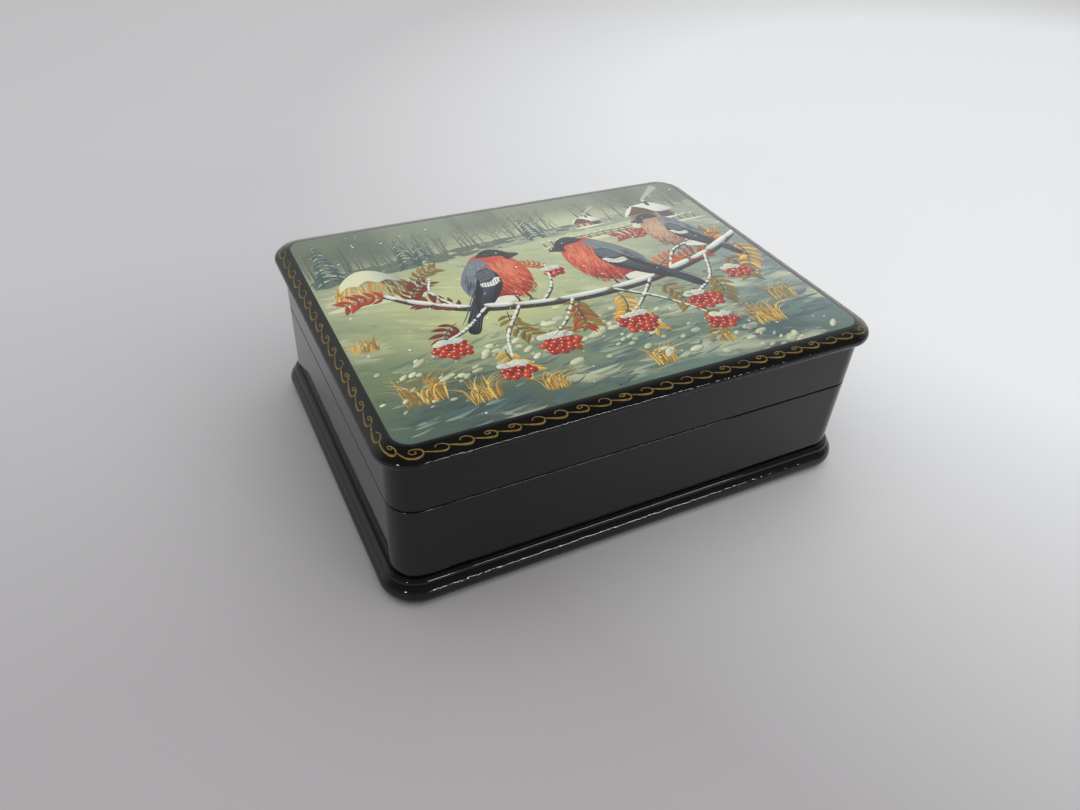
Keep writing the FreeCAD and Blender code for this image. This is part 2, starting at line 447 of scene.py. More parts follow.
new_piece("inner_liner_lacquered", liner_mesh, red_lacquer, "body", "red_lacquer", "inner_liner")

coat_thickness = 0.00008


def red_coat(name, stations, corner, low, high, body):
    """Thin level coat of red lacquer between two heights."""
    edge = stepped((0.0, low), (0.0, high))
    mesh = moulded(name, stations, corner, edge, [((0.0, high), 1), ((0.0, low), -1)])
    new_piece(name, mesh, red_lacquer, body, "red_lacquer")


floor_corner = liner_corner - liner_thickness
floor_steps = 8
floor_half_x = liner_high.x - liner_thickness
floor_half_y = liner_high.y - liner_thickness
floor_round = outline(floor_half_x, floor_half_y, floor_corner, floor_steps)
red_coat("floor_coat", floor_round, floor_corner, liner_low.z, liner_low.z + coat_thickness, "body")


# Lid panel. A pressed board glued on the lid wall and standing out over it all round.
# Its edge is rolled, a sloping border falls from the painted field to the roll, and it is red underneath.
panel_low, panel_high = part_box("lid_panel")
field_low, field_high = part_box("painted_field")
edge_roll = 0.0015
edge_roll_steps = 36
slope_steps = 24
border_fall = math.radians(44)
lid_corner = wall_corner + panel_high.x - wall_half_x
border_width = panel_high.x - field_high.x
roll_height = panel_low.z + edge_roll
turn_in = edge_roll * (1 - math.sin(border_fall))
slope_radius = (border_width - turn_in) / math.sin(border_fall)
field_edge = roll_height + edge_roll * math.cos(border_fall) + slope_radius * (1 - math.cos(border_fall))
slope_turn = 90 - math.degrees(border_fall)

panel_mesh = moulded(
    "lid_panel_lacquered",
    outline(panel_high.x, panel_high.y, lid_corner),
    lid_corner,
    [
        turned(edge_roll, roll_height, edge_roll, -90, slope_turn, edge_roll_steps),
        turned(border_width, field_edge - slope_radius, slope_radius, slope_turn, 90, slope_steps),
    ],
    [((border_width, field_edge), 1), ((edge_roll, panel_low.z), -1)],
)
lid_ripple = {"ripple": 0.00013, "ripple_top": roll_height + edge_roll * 0.6}
panel_lacquer = lacquer("black_lacquer_lid", *black_tones, 0.055, last_coat_waves, **lid_ripple)
new_piece("lid_panel_lacquered", panel_mesh, panel_lacquer, "lid", "black_lacquer", "lid_panel")
red_coat("lid_ceiling_coat", liner_round, liner_corner, panel_low.z - coat_thickness, panel_low.z, "lid")


# Gold border scroll. A running scroll drawn free-hand with a fine brush in powdered gold on the sloping
# border, one stroke and curl after another, anticlockwise round the lid. It stands a little proud and varies
# in weight.
gold_line = 0.00034
gold_height = 0.000028
gold_bed = 0.000004
scroll_middle = 0.0019
scroll_low = 0.0012
scroll_height = 0.00158
scroll_count = 81
stroke_steps = 60
stroke_ridge = ((-1.0, 0.0), (-0.55, 0.8), (0.0, 1.0), (0.55, 0.8), (1.0, 0.0))
dot_steps = 14
scroll_random = random.Random(11)
turn_radius = lid_corner - scroll_middle
turn_length = turn_radius * math.pi / 2
long_run = 2 * (panel_high.x - lid_corner)
short_run = 2 * (panel_high.y - lid_corner)
side_runs = (long_run, short_run, long_run, short_run)
# One unit, as shares of the pitch along and of the scroll's height across. It runs slantwise from the side of
# the last hook and turns back over itself. Some hooks stay open, some close into a curl, and the corners have
# a bigger one.
open_hook = (
    (0.00, 0.62), (0.18, 0.42), (0.39, 0.24), (0.58, 0.10), (0.78, 0.02), (0.95, 0.04), (1.05, 0.30),
    (1.02, 0.62), (0.92, 0.86), (0.78, 0.98), (0.66, 0.98), (0.57, 0.86), (0.56, 0.73),
)
closed_hook = (
    (0.00, 0.62), (0.18, 0.42), (0.39, 0.24), (0.58, 0.10), (0.78, 0.02), (0.94, 0.05), (1.02, 0.32),
    (0.98, 0.64), (0.86, 0.88), (0.70, 0.98), (0.57, 0.88), (0.55, 0.70), (0.64, 0.58), (0.75, 0.63),
    (0.76, 0.74),
)
corner_curl = (
    (0.00, 0.60), (0.12, 0.38), (0.28, 0.16), (0.46, -0.04), (0.72, -0.08), (0.95, 0.10), (1.04, 0.48),
    (0.95, 0.92), (0.74, 1.10), (0.52, 0.98), (0.46, 0.68), (0.58, 0.44), (0.76, 0.52), (0.74, 0.74),
)


def smooth_line(anchors, count):
    """Even points on a smooth line through the anchors."""
    knots = np.array(anchors, float)
    padded = np.vstack([2 * knots[0] - knots[1], knots, 2 * knots[-1] - knots[-2]])
    spread = np.linspace(0, len(knots) - 1, count)
    index = np.minimum(spread.astype(int), len(knots) - 2)
    t = (spread - index)[:, None]
    p0, p1, p2, p3 = (padded[index + offset] for offset in range(4))
    curve = (2 * p0 - 5 * p1 + 4 * p2 - p3) * t**2 + (3 * p1 - p0 - 3 * p2 + p3) * t**3
    return 0.5 * (2 * p1 + (p2 - p0) * t + curve)


def round_the_lid(along):
    """Corner centre and outward direction at a distance along the scroll's middle, from the front left."""
    half_x = panel_high.x - lid_corner
    half_y = panel_high.y - lid_corner
    left = along % (2 * (long_run + short_run) + 4 * turn_length)
    corners = ((-half_x, -half_y), (half_x, -half_y), (half_x, half_y), (-half_x, half_y))
    for number, (place, run) in enumerate(zip(corners, side_runs)):
        angle = math.radians(180 + 90 * number) + min(left, turn_length) / turn_radius
        out = Vector((math.cos(angle), math.sin(angle), 0))
        if left < turn_length:
            return Vector((*place, 0)), out
        left -= turn_length
        if left < run:
            return Vector((*place, 0)) + Vector((-out.y, out.x, 0)) * left, out
        left -= run
    return Vector((-half_x, -half_y, 0)), Vector((-1, 0, 0))


def on_border(along, inward, lift):
    """Point over the sloping border."""
    centre, out = round_the_lid(along)
    tilt_out = (border_width - inward) / slope_radius
    tilt_up = math.sqrt(1 - tilt_out**2)
    height = field_edge - slope_radius + math.sqrt(slope_radius**2 - (border_width - inward) ** 2)
    point = centre + out * (lid_corner - inward) + Vector((0, 0, height))
    return point + (out * tilt_out + Vector((0, 0, tilt_up))) * lift


def facing_up(name, vertices, faces):
    """Smooth mesh with every face turned upwards."""
    mesh = bpy.data.meshes.new(name)
    mesh.from_pydata(vertices, [], faces)
    work = bmesh.new()
    work.from_mesh(mesh)
    for face in work.faces:
        face.smooth = True
        face.normal_update()
        if face.normal.z < 0:
            face.normal_flip()
    work.to_mesh(mesh)
    work.free()
    return mesh


def scroll_mesh():
    """All the strokes of the scroll as low ridges, with a dot of paint at each curl's end."""
    pitch = (4 * (panel_high.x + panel_high.y - 2 * lid_corner) + 2 * math.pi * turn_radius) / scroll_count
    corner_units = []
    passed = turn_length * 0.3
    for run in side_runs:
        corner_units.append(round(passed / pitch))
        passed += turn_length + run
    ridge_points = len(stroke_ridge)
    vertices = []
    faces = []
    for unit in range(scroll_count):
        sway = scroll_random.uniform(-0.04, 0.04)
        size = scroll_random.uniform(0.92, 1.08)
        weight = scroll_random.uniform(0.85, 1.15)
        closed = scroll_random.random() < 0.5
        shares = closed_hook if closed else open_hook
        shares = corner_curl if unit in corner_units else shares
        path = []
        for share_along, share_up in shares:
            along = (unit + share_along + sway * share_up) * pitch
            path.append((along, scroll_low + share_up * scroll_height * size))
        line = smooth_line(path, stroke_steps)
        steps = np.gradient(line, axis=0)
        steps /= np.linalg.norm(steps, axis=1)[:, None]
        first = len(vertices)
        for number, ((along, inward), (go_along, go_in)) in enumerate(zip(line, steps)):
            share = number / (stroke_steps - 1)
            swell = 0.72 + 0.28 * math.sin(2 * math.pi * (share - 0.1)) + (0.35 if closed else 0.1) * share**4
            half = gold_line / 2 * weight * swell * min(1.0, 0.3 + share * 8)
            for across, lift in stroke_ridge:
                aside = half * across
                height = gold_bed + lift * gold_height
                vertices.append(on_border(along - go_in * aside, inward + go_along * aside, height))
        for number in range(stroke_steps - 1):
            for side in range(ridge_points - 1):
                a = first + number * ridge_points + side
                b = a + ridge_points
                faces.append((a, b, b + 1, a + 1))
        end_along, end_in = line[-1]
        dot = gold_line * 0.5 * scroll_random.uniform(0.7, 1.1)
        first = len(vertices)
        vertices.append(on_border(end_along, end_in, gold_bed + gold_height * 1.5))
        for reach, lift in ((0.6, 1.3), (1.0, 0.0)):
            for step in range(dot_steps):
                angle = 2 * math.pi * step / dot_steps
                along = end_along + dot * reach * math.cos(angle)
                inward = end_in + dot * reach * math.sin(angle)
                vertices.append(on_border(along, inward, gold_bed + gold_height * lift))
        inner = first + 1
        outer = inner + dot_steps
        for step in range(dot_steps):
            after = (step + 1) % dot_steps
            faces.append((first, inner + after, inner + step))
            faces.append((inner + step, inner + after, outer + after, outer + step))
    return facing_up("gold_scroll", vertices, faces)


def grained_metal(name, metallic, grain, tones, tone_range, gloss_range):
    """Metal whose two tones and gloss follow one fine cloudy grain."""
    material, tree, shader, place = new_material(name, Metallic=metallic)
    cloudy = noise(tree, place, *grain)
    tone = mixed(tree, ranged(tree, cloudy, *tone_range), *tones)
    dressed(shader, tone, ranged(tree, cloudy, 0.3, 0.7, *gloss_range))
    return material


gold_tones = srgb(106, 86, 38), srgb(146, 118, 54)
gold = grained_metal("powder_gold", 0.25, (900.0, 4.0, 0.7), gold_tones, (0.35, 0.65), (0.3, 0.5))
new_piece("gold_scroll", scroll_mesh(), gold, "lid", "black_lacquer")


# Hinge. Brass strip rolled round one wire pin, with the tails glued in saw slots in the rear walls.
# The knuckles' edges are dressed, and the brass has darkened except where it has rubbed bright.
eye_radius = 0.0008
knuckle_radius = eye_radius + strap_thickness
strap_seam = 0.0001
strap_edge = 0.00007
strap_edge_turn = math.radians(50)
roll_steps = 48
pin_steps = 48
pin_radius = (pin_high.z - pin_low.z) / 2
pin_chamfer = 0.0002

brass_tones = srgb(168, 136, 80), srgb(104, 80, 44)
brass = grained_metal("rubbed_brass", 1.0, (700.0, 4.0, 0.65), brass_tones, (0.36, 0.66), (0.22, 0.42))


def strap_mesh(name, low, high, side):
    """Rolled strap with an open seam and dressed edges: side 1 for the lid's, -1 for the body's."""
    sweep = 180 + math.degrees(math.acos((eye_radius - strap_seam) / knuckle_radius))
    tail = parting + side * max(abs(high.z - parting), abs(low.z - parting))
    points = [(pin_y - knuckle_radius, tail)]
    for radius, start, end in ((knuckle_radius, 180, 180 - sweep), (eye_radius, 180 - sweep, 180)):
        for step in range(roll_steps + 1):
            angle = math.radians(start + (end - start) * step / roll_steps)
            points.append((pin_y + radius * math.cos(angle), parting - side * radius * math.sin(angle)))
    points.append((pin_y - eye_radius, tail))
    return prism(points, low.x, high.x, name)


for body, names in strap_names.items():
    for name in names:
        low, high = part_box(name)
        mesh = strap_mesh(f"{name}_rolled", low, high, 1 if body == "lid" else -1)
        strap = new_piece(f"{name}_rolled", mesh, brass, body, "hinge_strip", name)
        dressing = strap.modifiers.new("dressed", "BEVEL")
        dressing.width = strap_edge
        dressing.segments = 2
        dressing.limit_method = "ANGLE"
        dressing.angle_limit = strap_edge_turn
        even_shading(strap)

pin_vertices = []
for x, radius in (
    (pin_low.x, pin_radius - pin_chamfer),
    (pin_low.x + pin_chamfer, pin_radius),
    (pin_high.x - pin_chamfer, pin_radius),
    (pin_high.x, pin_radius - pin_chamfer),
):
    pin_vertices += [(x, y, z) for y, z in circle_points(radius, pin_steps)]
pin_faces = [list(range(pin_steps))[::-1], list(range(3 * pin_steps, 4 * pin_steps))]
for ring in range(0, 3 * pin_steps, pin_steps):
    for step in range(pin_steps):
        after = (step + 1) % pin_steps
        pin_faces.append((ring + step, ring + after, ring + pin_steps + after, ring + pin_steps + step))
pin_mesh = bpy.data.meshes.new("hinge_pin_drawn")
pin_mesh.from_pydata(pin_vertices, [], pin_faces)
pin = new_piece("hinge_pin_drawn", pin_mesh, brass, "body", "hinge_wire", "hinge_pin")
even_shading(pin)


# Painted field: the ground. Chalk primer, then thin oil glazes for a winter evening: warm light on the snow,
# grey-green woods far off and blue-green shadow near, all flush and level under clear polished varnish.
millimetre = 0.001
half_field_x = field_high.x / millimetre
half_field_y = field_high.y / millimetre
field_corner = (lid_corner - border_width) / millimetre
crown_rise = 0.5
skin_edge = 0.35
skin_depth = 0.04
stroke_room = 0.06
edge_top = field_high.z / millimetre - stroke_room - crown_rise
grid_step = 0.42
edge_lines = (0.0, 0.03, 0.07, 0.12, 0.18, 0.26, 0.36)
cloud_cells = 97


def past_straight(x, y):
    """How far points lie past the straight part of each side."""
    return np.abs(x) - half_field_x + field_corner, np.abs(y) - half_field_y + field_corner


def edge_distance(x, y):
    """Distance in from the field's rounded outline, in millimetres."""
    past_x, past_y = past_straight(x, y)
    outside = np.hypot(np.maximum(past_x, 0), np.maximum(past_y, 0))
    inside = np.minimum(np.maximum(past_x, past_y), 0)
    return field_corner - outside - inside


def crown(x, y):
    """Height of the ground in millimetres: a pillow whose edge rolls down to the border."""
    pillow = crown_rise * (1 - (x / half_field_x) ** 2) * (1 - (y / half_field_y) ** 2)
    near = np.clip(1 - edge_distance(x, y) / skin_edge, 0, 1)
    fall = edge_top - field_edge / millimetre
    return edge_top + pillow - fall * (1 - np.sqrt(1 - near**2))


def crown_normals(x, y):
    """Upward normals of the ground."""
    reach = 0.02
    slope_x = (crown(x + reach, y) - crown(x - reach, y)) / (2 * reach)
    slope_y = (crown(x, y + reach) - crown(x, y - reach)) / (2 * reach)
    normals = np.stack([-slope_x, -slope_y, np.ones_like(slope_x)], axis=-1)
    return normals / np.linalg.norm(normals, axis=-1, keepdims=True)


def smooth_step(value, low, high):
    """0 below low, 1 above high, smooth between."""
    share = np.clip((value - low) / (high - low), 0, 1)
    return share * share * (3 - 2 * share)


def clouds(x, y, size, seed):
    """Soft cloudy values from 0 to 1 with spots of about that size in millimetres."""
    total = 0.0
    weights = (1.0, 0.5, 0.25)
    for octave, weight in enumerate(weights):
        lattice = np.random.default_rng(seed + octave).random((cloud_cells, cloud_cells))
        u = x / size * 2**octave + 40.37
        v = y / size * 2**octave + 40.71
        column = np.floor(u).astype(int)
        row = np.floor(v).astype(int)
        share_u = smooth_step(u - column, 0, 1)
        share_v = smooth_step(v - row, 0, 1)
        left = column % cloud_cells
        right = (column + 1) % cloud_cells
        lower = row % cloud_cells
        upper = (row + 1) % cloud_cells
        below = lattice[left, lower] * (1 - share_u) + lattice[right, lower] * share_u
        above = lattice[left, upper] * (1 - share_u) + lattice[right, upper] * share_u
        total = total + weight * (below * (1 - share_v) + above * share_v)
    return total / sum(weights)


def glow(x, y, at_x, at_y, width, depth):
    """1 in the middle of a soft oval, fading to 0 outside."""
    return np.exp(-(((x - at_x) / width) ** 2 + ((y - at_y) / depth) ** 2))


def tint(red, green, blue):
    """Linear colour of three parts."""
    return np.array(srgb(red, green, blue)[:3])


def glaze(under, colour, amount):
    """Lay one thin colour over another."""
    amount = np.asarray(amount)[..., None]
    return under * (1 - amount) + colour * amount


snow_light = tint(194, 200, 142)
snow_plain = tint(146, 158, 134)
sky_cream = tint(196, 200, 160)
sage_mist = tint(118, 128, 106)
sage_deep = tint(84, 94, 78)
teal_shade = tint(80, 106, 98)
teal_deep = tint(42, 66, 78)
lilac_grey = tint(134, 146, 138)
blue_shade = tint(88, 116, 126)
moss_shade = tint(88, 106, 66)
snow_cream = tint(222, 222, 184)


def ground_colour(x, y):
    """The glazes at a place: far woods above, a bright clearing in the middle, cold shade right and below."""
    drift = y + 0.22 * x
    colour = glaze(snow_plain, lilac_grey, 0.8 * smooth_step(x + 0.3 * y, 16, 58))
    colour = glaze(colour, blue_shade, 0.55 * smooth_step(x - 0.8 * y, 24, 74))
    colour = glaze(colour, teal_shade, 0.75 * smooth_step(-drift, 4, 34))
    colour = glaze(colour, snow_light, 0.95 * glow(x, y, -27, -3, 38, 24))
    sky_glow = glow(x, y, 18, 26, 34, 17)
    colour = glaze(colour, sky_cream, 0.85 * sky_glow)
    far = smooth_step(y + 5 * (clouds(x, y, 26, 5) - 0.5) - 9 * sky_glow, 21, 35)
    colour = glaze(colour, sage_mist, 0.85 * far)
    colour = glaze(colour, sage_deep, 0.6 * far * smooth_step(clouds(x, 0.35 * y, 9, 21), 0.45, 0.75))
    hollow = smooth_step(clouds(0.45 * x, drift, 8, 31), 0.5, 0.78)
    colour = glaze(colour, teal_deep, 0.55 * hollow * smooth_step(-drift, 2, 26))
    colour = glaze(colour, moss_shade, 0.6 * smooth_step(-0.7 * x - y, 34, 62))
    colour = glaze(colour, sage_deep, 0.55 * smooth_step(-x, 28, 50) * smooth_step(y, 14, 38))
    under_bank = np.exp(-(((x + 38) / 28) ** 2)) * smooth_step(-y, 24, 41)
    colour = glaze(colour, teal_deep, 0.62 * under_bank)
    ridges = smooth_step(clouds(0.4 * x, drift + 3, 5, 47), 0.58, 0.78)
    return glaze(colour, snow_cream, 0.5 * ridges * smooth_step(24 - y, 0, 10))


def to_rounded(x, y):
    """Move the points of a plain rectangle's corners on to the field's rounded outline."""
    past_x, past_y = (np.maximum(past, 0) / field_corner for past in past_straight(x, y))
    both = (past_x > 0) & (past_y > 0)
    new_x = np.where(both, past_x * np.sqrt(1 - past_y**2 / 2), past_x)
    new_y = np.where(both, past_y * np.sqrt(1 - past_x**2 / 2), past_y)
    x = np.sign(x) * np.where(past_x > 0, half_field_x - field_corner + field_corner * new_x, np.abs(x))
    y = np.sign(y) * np.where(past_y > 0, half_field_y - field_corner + field_corner * new_y, np.abs(y))
    return x, y


def grid_lines(half):
    """Even grid lines across the field, closer together near its edge."""
    inner = half - edge_lines[-1]
    middle = np.linspace(-inner, inner, int(2 * inner / grid_step) + 1)
    near_edge = np.array(edge_lines[:-1])
    return np.concatenate([near_edge - half, middle, half - near_edge[::-1]])


def colour_mesh(mesh, colours):
    """Give a mesh its paint, one colour a vertex."""
    layer = mesh.color_attributes.new("paint", "FLOAT_COLOR", "POINT")
    opaque = np.hstack([colours, np.ones((len(colours), 1))])
    layer.data.foreach_set("color", opaque.astype(np.float32).ravel())


def ground_mesh():
    """The ground as one fine net, with a skirt and a level underside."""
    lines_x = grid_lines(half_field_x)
    lines_y = grid_lines(half_field_y)
    flat_x, flat_y = np.meshgrid(lines_x, lines_y)
    x, y = to_rounded(flat_x.ravel(), flat_y.ravel())
    vertices = np.stack([x, y, crown(x, y)], axis=1)
    net = np.arange(len(vertices)).reshape(len(lines_y), len(lines_x))
    corner = net[:-1, :-1].ravel()
    columns = len(lines_x)
    faces = np.stack([corner, corner + 1, corner + columns + 1, corner + columns], axis=1).tolist()
    rim_ring = np.concatenate([net[0], net[1:, -1], net[-1, -2::-1], net[-2:0:-1, 0]]).tolist()
    below = vertices[rim_ring].copy()
    below[:, 2] = field_edge / millimetre - skin_depth
    first = len(vertices)
    for number in range(len(rim_ring)):
        after = (number + 1) % len(rim_ring)
        faces.append((rim_ring[after], rim_ring[number], first + number, first + after))
    faces.append(list(range(first, first + len(rim_ring)))[::-1])
    mesh = bpy.data.meshes.new("painted_ground")
    mesh.from_pydata((np.vstack([vertices, below]) * millimetre).tolist(), [], faces)
    mesh.shade_smooth()
    normals = np.vstack([crown_normals(x, y), np.tile([0.0, 0.0, 1.0], (len(below), 1))])
    mesh.normals_split_custom_set_from_vertices(normals.tolist())
    colour_mesh(mesh, np.vstack([ground_colour(x, y), ground_colour(below[:, 0], below[:, 1])]))
    return mesh


picture_varnish, oil_tree, oil_shader, oil_place = new_material("varnished_oils")
oil_paint = node(oil_tree, "ShaderNodeAttribute", attribute_name="paint").outputs["Color"]
oil_grain = ranged(oil_tree, noise(oil_tree, oil_place, 2600.0, 3.0, 0.6), 0.3, 0.7, 0.93, 1.05)
oil_film = noise(oil_tree, oil_place, 70.0, 2.0, 0.5)
oil_tone = mixed(oil_tree, 1.0, oil_paint, oil_grain, blend_type="MULTIPLY")
oil_gloss = ranged(oil_tree, oil_film, 0.3, 0.7, 0.056, 0.091)
dressed(oil_shader, oil_tone, oil_gloss, raised(oil_tree, oil_film, last_coat_waves))
new_piece("painted_ground", ground_mesh(), picture_varnish, "lid", "painted_field", "painted_field")


# Snow strokes. The picture is of bullfinches on a rowan bough in the snow, in oil strokes laid coat over coat
# with sable brushes, each dried and rubbed level, so they lie flush one over another. The first coat follows
# the drifts.
level_gap = 0.00022
levels = 6
edge_margin = 0.12
point_gap = 0.9
fewest_points = 7
most_points = 40
least_tip = 0.06
paint_random = random.Random(7)
wander = paint_random.uniform
tiers_laid = 0


def new_coat(name, tiers):
    """Start a coat of strokes above the coats before it, with room for that many tiers of its own."""
    global tiers_laid
    lift = level_gap * (1 + levels * tiers_laid)
    tiers_laid += tiers
    return {"name": name, "lift": lift, "tier": 0, "used": 0, "spots": [], "faces": [], "paint": []}


def tier(coat, number):
    """Lay what follows over the strokes of the coat's lower tiers."""
    coat["tier"] = number


def hold_inside(points):
    """Bring points that pass the field's edge back to it."""
    limit_x = half_field_x - edge_margin
    limit_y = half_field_y - edge_margin
    x = np.clip(points[:, 0], -limit_x, limit_x)
    y = np.clip(points[:, 1], -limit_y, limit_y)
    past_x, past_y = (np.maximum(past, 0) for past in past_straight(x, y))
    reach = np.hypot(past_x, past_y)
    limit = field_corner - edge_margin
    pull = np.where(reach > limit, limit / np.maximum(reach, limit), 1.0)
    x = np.where(past_x > 0, np.sign(x) * (half_field_x - field_corner + past_x * pull), x)
    y = np.where(past_y > 0, np.sign(y) * (half_field_y - field_corner + past_y * pull), y)
    return np.stack([x, y], axis=1)


def lay(coat, points, faces, paint):
    """Lay a small mesh of paint on the ground, a little over the strokes beside it."""
    points = np.asarray(points, float)
    if np.all(edge_distance(points[:, 0], points[:, 1]) < edge_margin):
        return
    points = hold_inside(points)
    lift = coat["lift"] + level_gap * (coat["tier"] * levels + coat["used"] % levels)
    coat["used"] += 1
    first = len(coat["spots"])
    heights = crown(points[:, 0], points[:, 1]) + lift
    coat["spots"] += np.column_stack([points, heights]).tolist()
    coat["paint"] += np.broadcast_to(paint, (len(points), 3)).tolist()
    coat["faces"] += [tuple(first + corner for corner in face) for face in faces]


tips = {
    "leaf": lambda share: np.sin(np.pi * share**0.85) ** 0.8,
    "dab": lambda share: np.clip(1 - np.abs(2 * share - 1) ** 2.6, 0, 1) ** 0.5,
    "flick": lambda share: (1 - share) ** 0.75 * np.clip(share / 0.1, 0.2, 1),
    "line": lambda share: np.clip(share / 0.12, 0.25, 1) * np.clip((1 - share) / 0.3, 0.15, 1) ** 0.7,
}


def brush(coat, anchors, width, paint, end_paint=None, tip="leaf"):
    """One stroke along a smooth line through the anchors, in millimetres, shading from paint to end_paint."""
    spread = np.diff(np.asarray(anchors, float), axis=0)
    length = float(np.sum(np.hypot(spread[:, 0], spread[:, 1])))
    count = int(min(most_points, max(fewest_points, length / point_gap)))
    line = smooth_line(anchors, count)
    share = np.linspace(0, 1, count)
    ahead = np.gradient(line, axis=0)
    ahead /= np.maximum(np.linalg.norm(ahead, axis=1), 1e-9)[:, None]
    across = np.stack([-ahead[:, 1], ahead[:, 0]], axis=1)
    half = (width / 2 * np.maximum(tips[tip](share), least_tip))[:, None]
    faces = [(n, n + count, n + count + 1, n + 1) for n in range(count - 1)]
    last = paint if end_paint is None else end_paint
    shade = paint + (last - paint) * share[:, None]
    sides = np.concatenate([line + across * half, line - across * half])
    lay(coat, sides, faces, np.concatenate([shade, shade]))


def patch(coat, anchors, paint, spacing):
    """A shape filled with one paint, or with the shade that a function gives at x and y."""
    ring = smooth_line([*anchors, anchors[0]], 6 * len(anchors) + 1)[:-1]
    low = ring.min(axis=0) + spacing / 2
    high = ring.max(axis=0)
    outer = [Vector(spot) for spot in ring.tolist()]
    rows = np.arange(low[1], high[1], spacing)
    inner = [Vector((x, y)) for x in np.arange(low[0], high[0], spacing) for y in rows]
    edges = [(n, (n + 1) % len(outer)) for n in range(len(outer))]
    spots, _, faces, *_ = delaunay_2d_cdt(outer + inner, edges, [list(range(len(outer)))], 1, 1e-5)
    used = sorted({corner for face in faces for corner in face})
    number = {old: new for new, old in enumerate(used)}
    points = np.array([tuple(spots[old]) for old in used], float)
    faces = [tuple(number[corner] for corner in face) for face in faces]
    lay(coat, points, faces, paint(points[:, 0], points[:, 1]) if callable(paint) else paint)


def drop(coat, at, radius, paint, light=None, stretch=1.0, turn=0.0):
    """A round dab of paint, lighter on its upper left where light is given."""
    rings = 3
    steps = 12
    points = [(0.0, 0.0)]
    faces = [(0, 1 + step, 1 + (step + 1) % steps) for step in range(steps)]
    for ring in range(rings):
        reach = (ring + 1) / rings
        a = 1 + ring * steps
        for step in range(steps):
            angle = 2 * math.pi * step / steps
            points.append((reach * math.cos(angle) * stretch, reach * math.sin(angle)))
            after = (step + 1) % steps
            if ring < rings - 1:
                faces.append((a + step, a + steps + step, a + steps + after, a + after))
    points = np.array(points)
    lit = np.clip(0.5 + 0.5 * (points @ np.array([-0.6, 0.75])), 0, 1)
    cosine, sine = math.cos(turn), math.sin(turn)
    places = points @ np.array([[cosine, sine], [-sine, cosine]]) * radius + np.array(at)
    lay(coat, places, faces, glaze(paint, paint if light is None else light, lit))


def varied(colour, amount=0.08):
    """The same colour, mixed a little lighter or darker."""
    return colour * (1 + wander(-amount, amount))


def finish_coat(coat):
    """Make a coat's strokes into one piece on the lid."""
    spots = np.array(coat["spots"])
    mesh = facing_up(coat["name"], (spots * millimetre).tolist(), coat["faces"])
    mesh.normals_split_custom_set_from_vertices(crown_normals(spots[:, 0], spots[:, 1]).tolist())
    colour_mesh(mesh, np.array(coat["paint"]))
    new_piece(coat["name"], mesh, picture_varnish, "lid", "painted_field")


snow = new_coat("snow_strokes", 1)
for _ in range(1500):
    x = wander(-60, 60)
    y = wander(-44, 30)
    length = wander(3, 9)
    slope = -0.22 + 0.12 * math.sin(x / 17) + wander(-0.08, 0.08)
    here = ground_colour(x, y)
    lift = 1 + 0.16 * paint_random.gauss(0, 0.6)
    rise = slope * length / 2
    way = [(x - length / 2, y - rise), (x, y + wander(-0.3, 0.3)), (x + length / 2, y + rise)]
    brush(snow, way, wander(0.4, 1.3), here * lift, here * (1 + (lift - 1) * 0.3))
finish_coat(snow)


# Far woods. Thin grey-green touches for the edge of the woods, then bare trees over them, each drawn upwards
# with one flick of a fine brush and seven twigs.
woods = new_coat("far_woods", 2)
wood_tone = tint(98, 108, 96)
wood_pale = tint(150, 158, 138)
twig_bends = ((0, 0), (0.6, 0.6), (1.0, 1.3))
for _ in range(260):
    x = wander(-60, 60)
    base = 25 + 0.06 * x + wander(-2.5, 2)
    tone = varied(wood_pale if paint_random.random() < 0.5 + x / 40 else wood_tone, 0.1)
    way = [(x - 2, base), (x + 2 + wander(0, 2), base + wander(-0.5, 0.5))]
    brush(woods, way, wander(0.6, 1.8), tone, tip="dab")
tier(woods, 1)
for _ in range(90):
    x = wander(-60, 12) if paint_random.random() < 0.8 else wander(12, 60)
    base = 25 + 0.06 * x + wander(-1, 2)
    top = min(44, base + wander(9, 19))
    lean = wander(-1.6, 1.6)
    tone = varied(wood_tone * wander(0.65, 1.1), 0.05)
    trunk = [(x, base), (x + lean * 0.4, (base + top) / 2), (x + lean, top)]
    brush(woods, trunk, wander(0.25, 0.7), tone, tip="flick")
    for _ in range(7):
        height = wander(0.3, 0.95)
        fork_x, fork_y = x + lean * height, base + (top - base) * height
        side = paint_random.choice((-1, 1))
        reach = wander(1.5, 4.5) * (1.2 - height)
        twig = [(fork_x + side * reach * out, fork_y + reach * up) for out, up in twig_bends]
        brush(woods, twig, wander(0.1, 0.22), tone, tip="flick")
finish_coat(woods)


# Village. Two log cottages under snow with a fence, far back on the right, a haystack on the left and four
# firs. Each is laid in from dark to light, log by log and straw by straw, with the snow last.
village = new_coat("village", 5)
log_dark = tint(92, 62, 40)
log_light = tint(168, 122, 66)
roof_snow = tint(224, 226, 214)
roof_shade = tint(140, 160, 172)
smoke = tint(176, 180, 172)
ember = tint(232, 168, 74)


